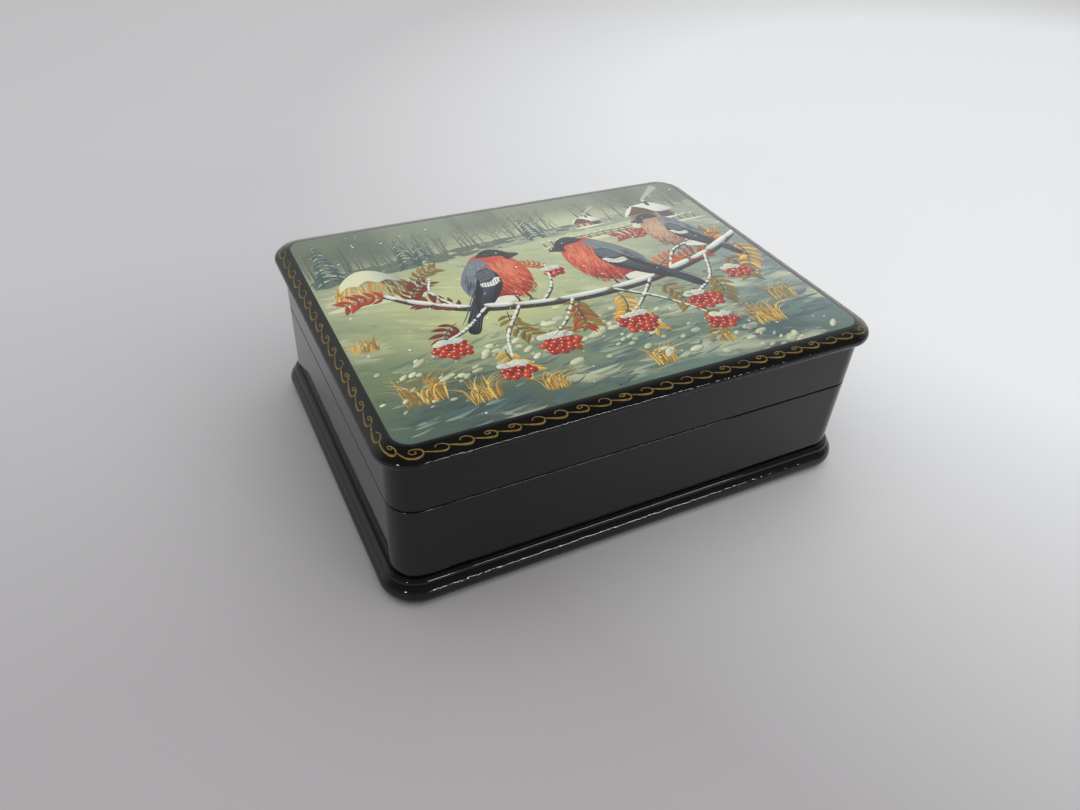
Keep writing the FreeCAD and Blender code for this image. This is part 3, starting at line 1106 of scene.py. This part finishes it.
def cottage(at, size):
    """A small log house seen from its corner, with a snow roof, lit windows and smoke, drawn at width one."""

    def spots(places):
        return [(at[0] + u * size, at[1] + v * size) for u, v in places]

    def stroke(places, width, paint, end_paint=None, tip="leaf"):
        brush(village, spots(places), width * size, paint, end_paint, tip)

    def roof_tone(x, y):
        return glaze(roof_snow, roof_shade, 0.7 * smooth_step(x - (y - at[1]), at[0], at[0] + size))

    tier(village, 0)
    for row in range(7):
        v = row / 7 * 0.34
        stroke([(-0.02, v), (0.64, v + 0.02)], 0.062, varied(log_light * 0.8, 0.2), log_dark, "line")
        stroke([(0.62, v + 0.02), (0.98, v + 0.07)], 0.06, log_dark * 0.9, log_dark * 0.7, "line")
    tier(village, 1)
    gable = [(-0.04, 0.33), (0.30, 0.34), (0.66, 0.35), (0.31, 0.66)]
    patch(village, spots(gable), log_dark * 0.9, 1.2)
    roof = [(0.28, 0.72), (0.50, 0.55), (0.68, 0.33), (1.06, 0.37), (0.90, 0.60), (0.70, 0.76)]
    patch(village, spots(roof), roof_tone, 1.0)
    stroke([(-0.08, 0.30), (0.10, 0.52), (0.30, 0.72)], 0.09, roof_snow)
    for u in (0.12, 0.36):
        tier(village, 2)
        stroke([(u, 0.16), (u + 0.14, 0.165)], 0.16, roof_snow * 0.9, tip="line")
        tier(village, 3)
        stroke([(u + 0.02, 0.16), (u + 0.12, 0.165)], 0.11, ember, tip="line")
    stroke([(0.66, 0.62), (0.66, 0.86)], 0.09, log_dark * 0.8, tip="line")
    stroke([(0.62, 0.87), (0.71, 0.87)], 0.06, roof_snow, tip="dab")
    for puff in range(9):
        share = puff / 8
        way = [(0.66 + 0.5 * share, 0.90 + 0.45 * share), (0.72 + 0.55 * share, 0.98 + 0.42 * share)]
        stroke(way, 0.07 + 0.12 * share, smoke * (1 - 0.12 * share), tip="dab")
    stroke([(-0.15, -0.02), (0.40, 0.01), (1.10, 0.05)], 0.12, roof_snow)


cottage((36, 22), 15)
cottage((18, 25), 8.5)

tier(village, 3)
for post in range(22):
    x = 4 + post * 2.45
    y = 17.6 + 0.05 * x + math.sin(post * 1.7) * 0.35
    way = [(x, y - 0.4), (x + wander(-0.15, 0.15), y + wander(2.2, 3.0))]
    brush(village, way, 0.42, log_dark, log_dark * 1.4, "line")
    drop(village, (x, y + 2.9), 0.34, roof_snow, stretch=1.4)
for height in (0.7, 1.9):
    rail = [(3, 17.7 + height), (22, 18.9 + height), (40, 19.4 + height), (58, 20.6 + height)]
    brush(village, rail, 0.34, log_dark, tip="line")
tier(village, 4)
brush(village, [(2, 17.2), (22, 18.0), (40, 18.7), (59, 19.7)], 1.3, snow_cream * 0.93, tip="dab")

straw_dark = tint(122, 84, 36)
straw = tint(190, 142, 58)
straw_light = tint(228, 190, 98)
hay_x, hay_y = -47.0, 9.0
tier(village, 3)
for _ in range(420):
    share_x = wander(-1, 1)
    share_y = wander(0, 1) ** 0.8 * math.sqrt(1 - share_x**2 * 0.85)
    x = hay_x + 9.5 * share_x
    y = hay_y + 13 * share_y
    tone = straw_dark if share_x > 0.35 else straw
    tone = straw_light if share_x < -0.1 and paint_random.random() < 0.4 else tone
    length = wander(1.5, 3.5)
    lean = length * share_x
    way = [(x, y), (x + 0.15 * lean, y - length * 0.5), (x + 0.35 * lean, y - length)]
    brush(village, way, 0.32, varied(tone, 0.15))
tier(village, 4)
hay_cap = [
    (-8, 5.5), (-6.5, 10), (-2.5, 13.8), (1.5, 14.2), (5.5, 11.2), (8, 6.2), (5, 8.2), (2.5, 7.6), (0, 9.2),
    (-3, 7.4), (-5, 8.0),
]
patch(
    village,
    [(hay_x + x, hay_y + y) for x, y in hay_cap],
    lambda x, y: glaze(snow_cream, roof_shade, 0.75 * smooth_step(x - hay_x, -1, 8)),
    0.9,
)
brush(village, [(-60, 7.0), (-48, 7.6), (-34, 6.6)], 2.2, snow_cream * 0.9, tip="dab")


def fir(at, height, spread):
    """A spruce with snow on its drooping boughs."""
    tier(village, 0)
    x, y = at
    needle = tint(54, 78, 70)
    for ring in range(11):
        share = ring / 10
        level = y + height * share
        reach = spread * (1 - share) ** 0.85 + 0.3
        for side in (-1, 1):
            out = side * reach
            for twig in range(3):
                down = reach * wander(0.45, 0.75)
                end = (x + out * (1 - 0.24 * twig), level - down)
                way = [(x, level + 0.6), (x + out * 0.5, level - 0.1 * down), end]
                brush(village, way, 0.22 * reach + 0.35, varied(needle, 0.25), needle * 1.5)
            end = (x + out * 0.9, level - 0.45 * reach)
            way = [(x + side * 0.2, level + 0.75), (x + out * 0.5, level + 0.25), end]
            brush(village, way, 0.1 * reach + 0.2, roof_snow * 0.85, roof_shade * 0.7)


fir((-55, 21), 20, 4.6)
fir((-34, 22), 15, 3.4)
fir((-29.5, 23), 11, 2.6)
fir((4, 25), 13, 3.0)
finish_coat(village)


# Near ground. Cold hollows drawn along the drifts, tufts of dry grass, and thick cream dabs of fresh snow,
# each dab one touch of a loaded brush over its own cold shade.
near = new_coat("near_snow", 5)
hollow_tones = (teal_deep, tint(70, 108, 124), tint(172, 188, 168))
grass_tones = (tint(196, 150, 58), tint(150, 106, 42), tint(222, 186, 92), tint(120, 112, 54))
for _ in range(420):
    x = wander(-58, 59)
    y = wander(-43, -12) + 0.12 * x
    length = wander(2.5, 8)
    here = ground_colour(x, y)
    tone = glaze(here, paint_random.choice(hollow_tones), 0.55)
    way = [(x, y), (x + length * 0.6, y + wander(-0.1, 0.8)), (x + length * 1.3, y + wander(-0.2, 2.2))]
    brush(near, way, wander(0.4, 1.3), varied(tone, 0.1), glaze(here, tone, 0.3))
tier(near, 1)
for place_x, place_y, size, blades in (
    (-50, -34, 13, 60), (-38, -38, 10, 55), (-22, -40, 8, 40), (6, -41, 9, 45), (40, -36, 12, 60),
    (51, -28, 10, 45), (24, -39, 7, 35), (-56, -12, 8, 30), (54, 8, 7, 26),
):
    for _ in range(blades):
        lean = paint_random.gauss(0.15, 0.55)
        length = size * wander(0.5, 1.0)
        x = place_x + wander(-0.35, 0.35) * size
        y = place_y + wander(-0.06, 0.06) * size
        end = (x + lean * length, y + length * (1 - 0.3 * abs(lean)))
        blade = [(x, y), (x + 0.25 * lean * length, y + 0.6 * length), end]
        brush(near, blade, wander(0.18, 0.5), varied(paint_random.choice(grass_tones), 0.15), tip="flick")


def snow_dab(x, y, size, thickness):
    """A dab of snow, one touch of a loaded brush with its cold side below: thin ones stay dull and flat."""
    turn = wander(0.05, 0.75)
    length = size * wander(1.3, 3.0)
    step_x, step_y = length * math.cos(turn), length * math.sin(turn)
    cold = ground_colour(x, y)
    white = glaze(cold, tint(210, 213, 172), thickness)
    for number, (width, lift, first, second) in enumerate((
        (1.5, -0.25, cold * 0.72, cold * 0.9),
        (1.25, 0.0, glaze(cold, white, 0.5), glaze(cold, white, 0.25)),
        (0.95, 0.08, white, glaze(cold, white, 0.6)),
        (0.5, 0.18, glaze(white, tint(236, 236, 204), thickness**2), white),
    )):
        tier(near, 1 + number)
        base = y + lift * size
        way = [(x, base), (x + 0.5 * step_x, base + 0.5 * step_y + 0.12 * size), (x + step_x, base + step_y)]
        brush(near, way, size * width, varied(first, 0.05), second, "dab")


for _ in range(175):
    share = wander(0, 1) ** 0.85
    x = -56 + 112 * share + paint_random.gauss(0, 3)
    y = -37 + 17 * math.sin(share * 4.0 + 0.3) + paint_random.gauss(0, 5.0)
    snow_dab(x, y, wander(0.5, 1.9) * (0.7 + 0.4 * share), wander(0.4, 1.0))
finish_coat(near)


# Rowan bough. A dark knotty branch and its twigs, each a dark stroke with a lit upper side and short marks
# of bark across it.
bough_paint = new_coat("rowan_bough", 3)
bark_dark = tint(44, 32, 26)
bark_light = tint(132, 108, 82)
bough_line = [(62, 8), (44, -1), (22, -7.5), (-2, -9), (-24, -5), (-38, 2), (-46, 9)]
hidden_twig = [(50, 2), (44, 11), (36, 15)]
twigs = (
    [(44, -1), (38, -12), (30, -18)],
    [(22, -7.5), (14, -16), (8, -21)],
    [(-2, -9), (-8, -17), (-14, -22)],
    [(-24, -5), (-32, -12), (-38, -15)],
    hidden_twig,
    [(30, -5), (37, 4), (46, 7)],
    [(-10, -8), (-4, -1), (-1, 9)],
    [(-30, -3), (-34, 6), (-32, 13)],
    [(10, -8.6), (20, -17), (27, -27)],
    [(-16, -7), (-24, -18), (-27, -27)],
)
for line, width, tip, marks in [(bough_line, 2.6, "line", 2)] + [(twig, 1.0, "flick", 5) for twig in twigs]:
    tier(bough_paint, 0)
    brush(bough_paint, line, width, bark_dark, bark_dark * 1.2, tip)
    tier(bough_paint, 1)
    lit_side = [(x - 0.05, y + 0.22 * width) for x, y in line]
    brush(bough_paint, lit_side, width * 0.35, bark_light, bark_dark * 2, "line")
    tier(bough_paint, 2)
    for x, y in smooth_line(line, 60)[::marks]:
        mark = [(x, y - 0.3 * width), (x + 0.5, y + 0.25 * width)]
        brush(bough_paint, mark, 0.14, varied(bark_light, 0.3), tip="flick")
finish_coat(bough_paint)


# Rowan leaves. Feathered leaves turned by frost: a stalk with paired leaflets, and each leaflet a dark touch,
# a light one over it and a fine rib.
foliage = new_coat("rowan_leaves", 3)
leaf_tones = (
    tint(206, 146, 48), tint(206, 100, 36), tint(172, 58, 32),
    tint(142, 118, 48), tint(226, 176, 76), tint(126, 44, 32),
)


def rowan_leaf(at_x, at_y, heading, size):
    """A feathered leaf growing from a place, with its size in millimetres."""
    stalk = []
    for share in (0, 0.35, 0.7, 1.0):
        bend = heading - 0.5 * share * math.copysign(1, math.cos(heading))
        stalk.append((at_x + size * share * math.cos(bend), at_y + size * share * math.sin(bend)))
    main = paint_random.choice(leaf_tones)
    line = smooth_line(stalk, 13)
    brush(foliage, stalk, 0.3, bark_dark * 2, tip="line")
    for step in range(2, 13, 2):
        x, y = line[step]
        ahead = math.atan2(line[step][1] - line[step - 1][1], line[step][0] - line[step - 1][0])
        for side in (-1, 1):
            spread = ahead + side * wander(0.75, 1.0)
            length = size * (0.42 - 0.012 * abs(step - 7)) * wander(0.9, 1.1)
            tone = varied(main * wander(0.75, 1.15))
            end_x, end_y = x + length * math.cos(spread), y + length * math.sin(spread)
            sag_x = x + 0.5 * length * math.cos(spread + 0.15 * side)
            sag_y = y + 0.5 * length * math.sin(spread + 0.15 * side)
            leaflet = [(x, y), (sag_x, sag_y), (end_x, end_y)]
            lit_end = (end_x * 0.92 + x * 0.08, end_y * 0.92 + y * 0.08)
            tier(foliage, 0)
            brush(foliage, leaflet, length * 0.34, tone * 0.62, tone)
            tier(foliage, 1)
            lit = [(x, y), (sag_x - 0.04 * length, sag_y + 0.07 * length), lit_end]
            brush(foliage, lit, length * 0.15, tone * 1.25, tone * 1.05)
            tier(foliage, 2)
            brush(foliage, leaflet, 0.1, tone * 0.4, tip="line")


for leaf in (
    (-44, 8, 2.6, 11), (-40, 4, 1.4, 10), (-30, -4, 1.9, 11), (-33, -8, 3.6, 11), (-20, -8, 4.3, 11),
    (-4, -10, 5.1, 11), (0, -9, 3.9, 12), (10, -10, 4.9, 11), (26, -6, 1.2, 11), (22, -10, 5.4, 12),
    (34, -3, 0.8, 11), (38, -10, 5.0, 12), (46, 0, 1.5, 12), (48, -3, 5.3, 12), (54, 4, 2.0, 11),
    (56, 3, 5.0, 12), (-36, 12, 1.2, 9), (36, 14, 2.4, 10), (-1.5, 7, 1.9, 7), (-27, -22, 4.4, 10),
    (27, -24, 5.0, 10), (44, 8, 0.2, 10), (-12, -18, 5.2, 9), (12, -18, 4.1, 10),
):
    rowan_leaf(*leaf)
finish_coat(foliage)


# Rowan berries. Hanging bunches, every berry a dark round with a light side, a glint and a dark eye,
# on thin stalks and with snow lying on the bunch.
fruit = new_coat("rowan_berries", 4)
berry_dark = tint(112, 20, 18)
berry_lights = (tint(214, 62, 34), tint(226, 84, 40), tint(190, 44, 30))
golden_turn = 2.399
for at_x, at_y, size, count in (
    (30, -21, 4.6, 22), (8, -24, 4.8, 24), (-14, -25, 4.6, 22), (-38, -18, 4.2, 19), (36, 18, 3.4, 13),
    (28, -31, 3.8, 15), (-28, -31, 3.6, 14), (47, -12, 3.8, 15), (-0.6, 5, 2.5, 9),
):
    for number in range(count):
        reach = size * math.sqrt((number + 0.5) / count)
        x = at_x + reach * math.cos(number * golden_turn) * 1.05
        y = at_y + reach * math.sin(number * golden_turn) * 0.8
        tier(fruit, 0)
        stalk = [(at_x, at_y + size * 1.25), ((at_x + x) / 2, (at_y + y) / 2 + size * 0.6), (x, y)]
        brush(fruit, stalk, 0.1, varied(bark_light * 0.6, 0.3), tip="line")
        radius = wander(0.95, 1.2)
        tier(fruit, 1)
        drop(fruit, (x, y), radius, berry_dark, paint_random.choice(berry_lights))
        tier(fruit, 2)
        drop(fruit, (x - 0.32 * radius, y + 0.36 * radius), 0.2, tint(250, 214, 180))
        drop(fruit, (x + 0.1, y - 0.62 * radius), 0.13, bark_dark * 0.6)
    tier(fruit, 3)
    for _ in range(7):
        place = (at_x + wander(-0.75, 0.75) * size, at_y + size * wander(0.65, 0.9))
        drop(fruit, place, wander(0.7, 1.15), tint(178, 192, 196), snow_cream, 1.5, wander(-0.2, 0.2))
finish_coat(fruit)


# Bullfinches. Two cocks and a hen on the bough, built up in the order of fine miniature work: the flat shape
# first, then a shadow glaze, then feather by feather with a fine brush.
birds = new_coat("bullfinches", 12)
slate = tint(112, 122, 128)
slate_dark = tint(62, 72, 80)
soot = tint(18, 18, 22)
soot_sheen = tint(66, 74, 96)
chalk = tint(234, 232, 218)
horn = tint(48, 44, 46)
leg_brown = tint(70, 46, 40)
cock_breast = (tint(190, 62, 42), tint(228, 128, 86), tint(116, 30, 26))
hen_breast = (tint(170, 128, 104), tint(206, 172, 142), tint(108, 76, 62))
tail = ((-0.20, -0.34), (-0.46, -0.70), (-0.60, -0.92), (-0.70, -0.86), (-0.56, -0.58), (-0.34, -0.26))
bird_body = (
    (0.20, 0.60), (0.36, 0.53), (0.42, 0.36), (0.47, 0.10), (0.43, -0.16), (0.28, -0.38), (0.04, -0.47),
    (-0.20, -0.42), (-0.36, -0.24), (-0.35, 0.02), (-0.20, 0.30), (-0.02, 0.52),
)
vent = ((0.10, -0.44), (-0.06, -0.38), (-0.28, -0.42), (-0.34, -0.52), (-0.16, -0.54), (0.02, -0.50))
mantle = (
    (-0.02, 0.50), (0.10, 0.36), (0.02, 0.10), (-0.14, -0.12), (-0.34, -0.30), (-0.40, -0.16), (-0.36, 0.06),
    (-0.20, 0.32),
)
wing = (
    (0.06, 0.22), (0.10, 0.04), (0.04, -0.18), (-0.14, -0.40), (-0.40, -0.64), (-0.46, -0.60), (-0.36, -0.30),
    (-0.20, 0.00), (-0.06, 0.20),
)
wing_bar = (
    (0.09, 0.00), (0.04, -0.09), (-0.06, -0.14), (-0.18, -0.12), (-0.17, -0.05), (-0.05, -0.05), (0.03, 0.01),
)
shoulder = ((0.05, 0.24), (0.09, 0.12), (0.02, 0.02), (-0.10, 0.00), (-0.16, 0.10), (-0.08, 0.22))
black_cap = (
    (0.03, 0.50), (0.12, 0.60), (0.24, 0.63), (0.36, 0.57), (0.44, 0.46), (0.43, 0.36), (0.36, 0.33),
    (0.34, 0.42), (0.26, 0.46), (0.14, 0.47),
)
beak = ((0.41, 0.50), (0.50, 0.46), (0.545, 0.40), (0.50, 0.375), (0.42, 0.35), (0.40, 0.42))
eye = (0.315, 0.505)


def bullfinch(at, size, facing, tilt, breast_tones=cock_breast):
    """A perched bird. Its shapes are drawn for a bird of length one that looks right."""
    breast, breast_light, breast_dark = breast_tones
    cosine, sine = math.cos(tilt), math.sin(tilt)

    def spot(u, v):
        return (at[0] + facing * size * (u * cosine - v * sine), at[1] + size * (u * sine + v * cosine))

    def shape(level, places, paint, spacing=0.8):
        tier(birds, level)
        patch(birds, [spot(u, v) for u, v in places], paint, spacing)

    def feather(places, width, paint, end_paint=None, tip="line"):
        brush(birds, [spot(u, v) for u, v in places], width * size, paint, end_paint, tip)

    def breast_shade(x, y):
        u = (x - at[0]) * facing / size
        v = (y - at[1]) / size
        shade = glaze(breast, breast_light, 0.75 * glow(u, v, 0.24, 0.14, 0.17, 0.26))
        shade = glaze(shade, breast_dark, 0.85 * smooth_step(-v + 0.25 * u, 0.18, 0.5))
        return glaze(shade, breast_dark, 0.55 * smooth_step(-u - 0.3 * v, -0.02, 0.2))

    shape(0, tail, soot, 0.7)
    tier(birds, 1)
    for number in range(6):
        shift = number * 0.022
        quill = [
            (-0.26 - shift, shift - 0.36),
            (-0.46 - shift, shift - 0.66),
            (-0.60 - shift, shift * 1.6 - 0.90),
        ]
        feather(quill, 0.012, soot_sheen)
    shape(1, bird_body, breast_shade)
    shape(2, vent, chalk * 0.9)
    shape(2, mantle, slate)
    tier(birds, 3)
    for _ in range(130):
        u = wander(-0.34, 0.06)
        v = wander(-0.26, 0.46)
        back = -0.34 + 0.54 * v if v < 0.3 else -0.43 + 0.84 * v
        if abs(u + 0.17 - 0.33 * (v - 0.1)) > 0.15 or u < back:
            continue
        tone = slate_dark if u < -0.2 else slate * wander(0.85, 1.5)
        feather([(u, v), (u - 0.035, v - 0.06), (u - 0.055, v - 0.12)], 0.022, varied(tone, 0.1), tip="flick")
    tier(birds, 4)
    for _ in range(420):
        u = wander(-0.1, 0.47)
        v = wander(-0.44, 0.42)
        if ((u - 0.19) / 0.25) ** 2 + (v / 0.42) ** 2 > 1:
            continue
        light = glow(u, v, 0.24, 0.14, 0.18, 0.28)
        tone = breast_light if paint_random.random() < 0.25 + 0.55 * light else breast
        tone = breast_dark if paint_random.random() < 0.3 and v < -0.12 else tone
        curl = 0.03 + 0.08 * (u - 0.15)
        plume = [(u, v), (u + curl * 0.4, v - 0.05), (u + curl * 0.3, v - 0.10)]
        feather(plume, 0.017, varied(tone, 0.1), tip="flick")
    shape(5, wing, soot)
    tier(birds, 6)
    for number in range(9):
        share = number / 8
        quill = [
            (0.05 - 0.17 * share, 0.02 - 0.04 * share),
            (-0.10 - 0.12 * share, 0.02 * share - 0.24),
            (-0.34 - 0.10 * share, -0.54 - 0.02 * share),
        ]
        feather(quill, 0.016, soot_sheen * (0.7 + 0.8 * share), soot * 1.5)
    shape(7, wing_bar, chalk, 0.5)
    tier(birds, 8)
    for number in range(8):
        share = number / 7
        quill = [(0.07 - 0.24 * share, -0.01 - 0.05 * share), (0.05 - 0.25 * share, -0.12 - 0.02 * share)]
        feather(quill, 0.012, slate)
    shape(8, shoulder, slate_dark, 0.7)
    tier(birds, 9)
    for row in range(4):
        for number in range(6):
            u = 0.06 - 0.036 * number - 0.006 * row
            v = 0.21 - 0.05 * row - 0.008 * number
            scale = [(u, v), (u - 0.012, v - 0.03), (u - 0.02, v - 0.05)]
            feather(scale, 0.026, varied(slate, 0.2), slate_dark, "dab")
    shape(5, black_cap, soot, 0.6)
    tier(birds, 6)
    for _ in range(26):
        u = wander(0.10, 0.34)
        v = 0.61 - 2.2 * (u - 0.22) ** 2 - wander(0.01, 0.10)
        feather([(u, v), (u - 0.03, v - 0.012), (u - 0.06, v - 0.03)], 0.011, soot_sheen, soot, "flick")
    shape(7, beak, horn, 0.5)
    tier(birds, 8)
    feather([(0.42, 0.475), (0.48, 0.455), (0.525, 0.415)], 0.016, tint(150, 146, 142), tip="leaf")
    feather([(0.40, 0.415), (0.47, 0.41), (0.53, 0.40)], 0.008, soot)
    drop(birds, spot(*eye), 0.034 * size, tint(92, 70, 56))
    tier(birds, 9)
    drop(birds, spot(*eye), 0.026 * size, tint(10, 10, 12))
    tier(birds, 10)
    drop(birds, spot(0.306, 0.516), 0.009 * size, tint(250, 248, 240))
    tier(birds, 11)
    for foot in (0.06, 0.20):
        feather([(foot, -0.42), (foot + 0.01, -0.50), (foot - 0.01, -0.56)], 0.026, leg_brown)
        for toe in (-0.035, 0.0, 0.035):
            claw = [(foot, -0.54), (foot + toe, -0.57), (foot + toe * 1.5, -0.615)]
            feather(claw, 0.018, leg_brown, tip="flick")


bullfinch((-17, 7.5), 23, 1, 0.05)
bullfinch((17, 6.5), 24, -1, -0.06)
bullfinch((44, 14.5), 19, -1, 0.1, hen_breast)
finish_coat(birds)


# Snow on the bough. Last touches: snow lying in short runs along the branch and its twigs, cold below and
# cream on top, and flakes in the air.
last = new_coat("snow_on_bough", 4)
for line, fullness in [(bough_line, 1.0)] + [(twig, 0.42) for twig in twigs if twig is not hidden_twig]:
    path = smooth_line(line, 200)
    step = 0
    while step < 190:
        run = paint_random.randint(9, 26)
        piece = path[step:min(200, step + run)][::4]
        if len(piece) > 2:
            wide = wander(1.3, 2.0) * fullness + 0.15
            for number, (width, rise, first, second) in enumerate((
                (1.0, 0.42, roof_shade, roof_shade * 0.85),
                (0.86, 0.55, tint(206, 212, 200), tint(190, 200, 196)),
                (0.5, 0.72, tint(242, 240, 220), tint(226, 228, 208)),
            )):
                tier(last, number)
                lying = [(x, y + rise * wide + 0.35 * fullness) for x, y in piece]
                brush(last, lying, wide * width, first, second, "dab")
        step += run + paint_random.choice((-4, -3, -2, 5))
tier(last, 3)
for _ in range(110):
    drop(last, (wander(-59, 59), wander(-42, 43)), wander(0.12, 0.34), snow_cream, tint(248, 246, 234))
finish_coat(last)


# Table. A sheet of pale paper on a table top. Its colour holds painted shade and light: darker, a little grey
#  and pink, near the front left, and a painted pool of light to the rear and the right where it faces the
#  window.
table_half = 3.0
table_mesh = bpy.data.meshes.new("table")
table_corners = [(x * table_half, y * table_half, 0) for x, y in ((-1, -1), (1, -1), (1, 1), (-1, 1))]
table_mesh.from_pydata(table_corners, [], [(0, 1, 2, 3)])
table = bpy.data.objects.new("table", table_mesh)
bpy.context.scene.collection.objects.link(table)
paper, paper_tree, paper_shader, paper_place = new_material("white_paper", Roughness=0.6)
paper_back = node(paper_tree, "ShaderNodeSeparateXYZ", Vector=paper_place).outputs["Y"]
paper_rear = ranged(paper_tree, paper_back, -0.045, 0.142)
# Painted shade: the paper's colour is darker towards the front, where the light falls off.
paper_painted_falloff = mixed(paper_tree, paper_rear, srgb(176, 173, 175), srgb(203, 201, 203))
# Painted light: a bright pool in the paper's colour to the rear right, towards the window.
painted_light_middle = (0.393, 0.069, 0.0)
paper_reach = worked(paper_tree, "ShaderNodeVectorMath", "DISTANCE", paper_place, painted_light_middle)
painted_light_pool = ranged(paper_tree, paper_reach, 0.272, 0.443, 1.0, 0.0)
put(mixed(paper_tree, painted_light_pool, paper_painted_falloff, srgb(238, 239, 240)), paper_shader.inputs["Base Color"])
table_mesh.materials.append(paper)


# Room. What the lacquer mirrors: dim overhead and towards the front, a pale wall beyond the table,
# and a brighter low part of it towards the right.
world = bpy.data.worlds.new("studio")
bpy.context.scene.world = world
world.use_nodes = True
sky_tree = world.node_tree
sky = sky_tree.nodes["Background"]
sky_way = node(sky_tree, "ShaderNodeTexCoord").outputs["Generated"]
height_up = node(sky_tree, "ShaderNodeSeparateXYZ", Vector=sky_way).outputs["Z"]


def facing(azimuth_from_back, low, high):
    """1 where the room lies towards that direction beyond the box, fading to 0 away from it."""
    turn = math.radians(azimuth_from_back)
    towards = (math.sin(turn), math.cos(turn), 0.0)
    share = worked(sky_tree, "ShaderNodeVectorMath", "DOT_PRODUCT", sky_way, towards)
    return ranged(sky_tree, share, low, high)


def blend(under, share_a, share_b, value):
    """Grey level over another where both shares are full."""
    both = worked(sky_tree, "ShaderNodeMath", "MULTIPLY", share_a, share_b)
    return node(sky_tree, "ShaderNodeMix", data_type="FLOAT", Factor=both, A=under, B=value).outputs["Result"]


room = ranged(sky_tree, height_up, 0.0, 0.6, 0.26, 0.16)
room = blend(room, facing(15, -0.15, 0.35), ranged(sky_tree, height_up, 0.62, 0.86, 1.0, 0.0), 0.66)
room = blend(room, facing(38, 0.72, 0.88), ranged(sky_tree, height_up, 0.40, 0.56, 1.0, 0.0), 1.35)
put(room, sky.inputs["Strength"])
sky.inputs["Color"].default_value = (0.97, 0.99, 1.0, 1.0)


# Windows. Soft light from overhead, and three low windows at the front that only draw the thin broken lines
# of light along the rolled edges.
def window(name, azimuth, elevation, distance, width, height, power, mirrored=True):
    """Soft rectangular light aimed at the box. Azimuth 0 is the front, positive to the right."""
    lamp = bpy.data.lights.new(name, "AREA")
    lamp.shape = "RECTANGLE"
    lamp.size = width
    lamp.size_y = height
    lamp.energy = power
    holder = bpy.data.objects.new(name, lamp)
    bpy.context.scene.collection.objects.link(holder)
    a = math.radians(azimuth)
    e = math.radians(elevation)
    holder.location = Vector((math.sin(a) * math.cos(e), -math.cos(a) * math.cos(e), math.sin(e))) * distance
    holder.rotation_euler = holder.location.to_track_quat("Z", "Y").to_euler()
    holder.visible_glossy = mirrored


window("ceiling_soft", 15, 80, 1.6, 3.0, 3.0, 32.5, mirrored=False)
window("window_front", 24, 15, 1.5, 0.55, 0.06, 2.6)
window("window_corner", -50, 16, 1.5, 0.09, 0.07, 1.2)
window("window_low", 10, 9, 1.5, 0.07, 0.06, 0.6)


# Camera. It stands before the front left corner and looks down at the box, with a lens that is a little wide
# and a slight roll.
lens_pixels = 833.343
photo_width = 1080
sensor = 36.0
camera_place = Vector((-0.095496, -0.163457, 0.154002))
yaw = math.radians(29.107)
pitch = math.radians(-38.493)
roll = math.radians(4.143)
forward = Vector((math.sin(yaw) * math.cos(pitch), math.cos(yaw) * math.cos(pitch), math.sin(pitch)))
level_right = Vector((math.cos(yaw), -math.sin(yaw), 0))
level_up = level_right.cross(forward)
right = math.cos(roll) * level_right + math.sin(roll) * level_up
up = -math.sin(roll) * level_right + math.cos(roll) * level_up
camera_data = bpy.data.cameras.new("camera")
camera_data.sensor_width = sensor
camera_data.lens = lens_pixels * sensor / photo_width
camera_data.clip_start = 0.01
camera = bpy.data.objects.new("camera", camera_data)
bpy.context.scene.collection.objects.link(camera)
camera.matrix_world = Matrix.Translation(camera_place) @ Matrix((right, up, -forward)).transposed().to_4x4()
bpy.context.scene.camera = camera
bpy.context.scene.view_settings.view_transform = "Standard"
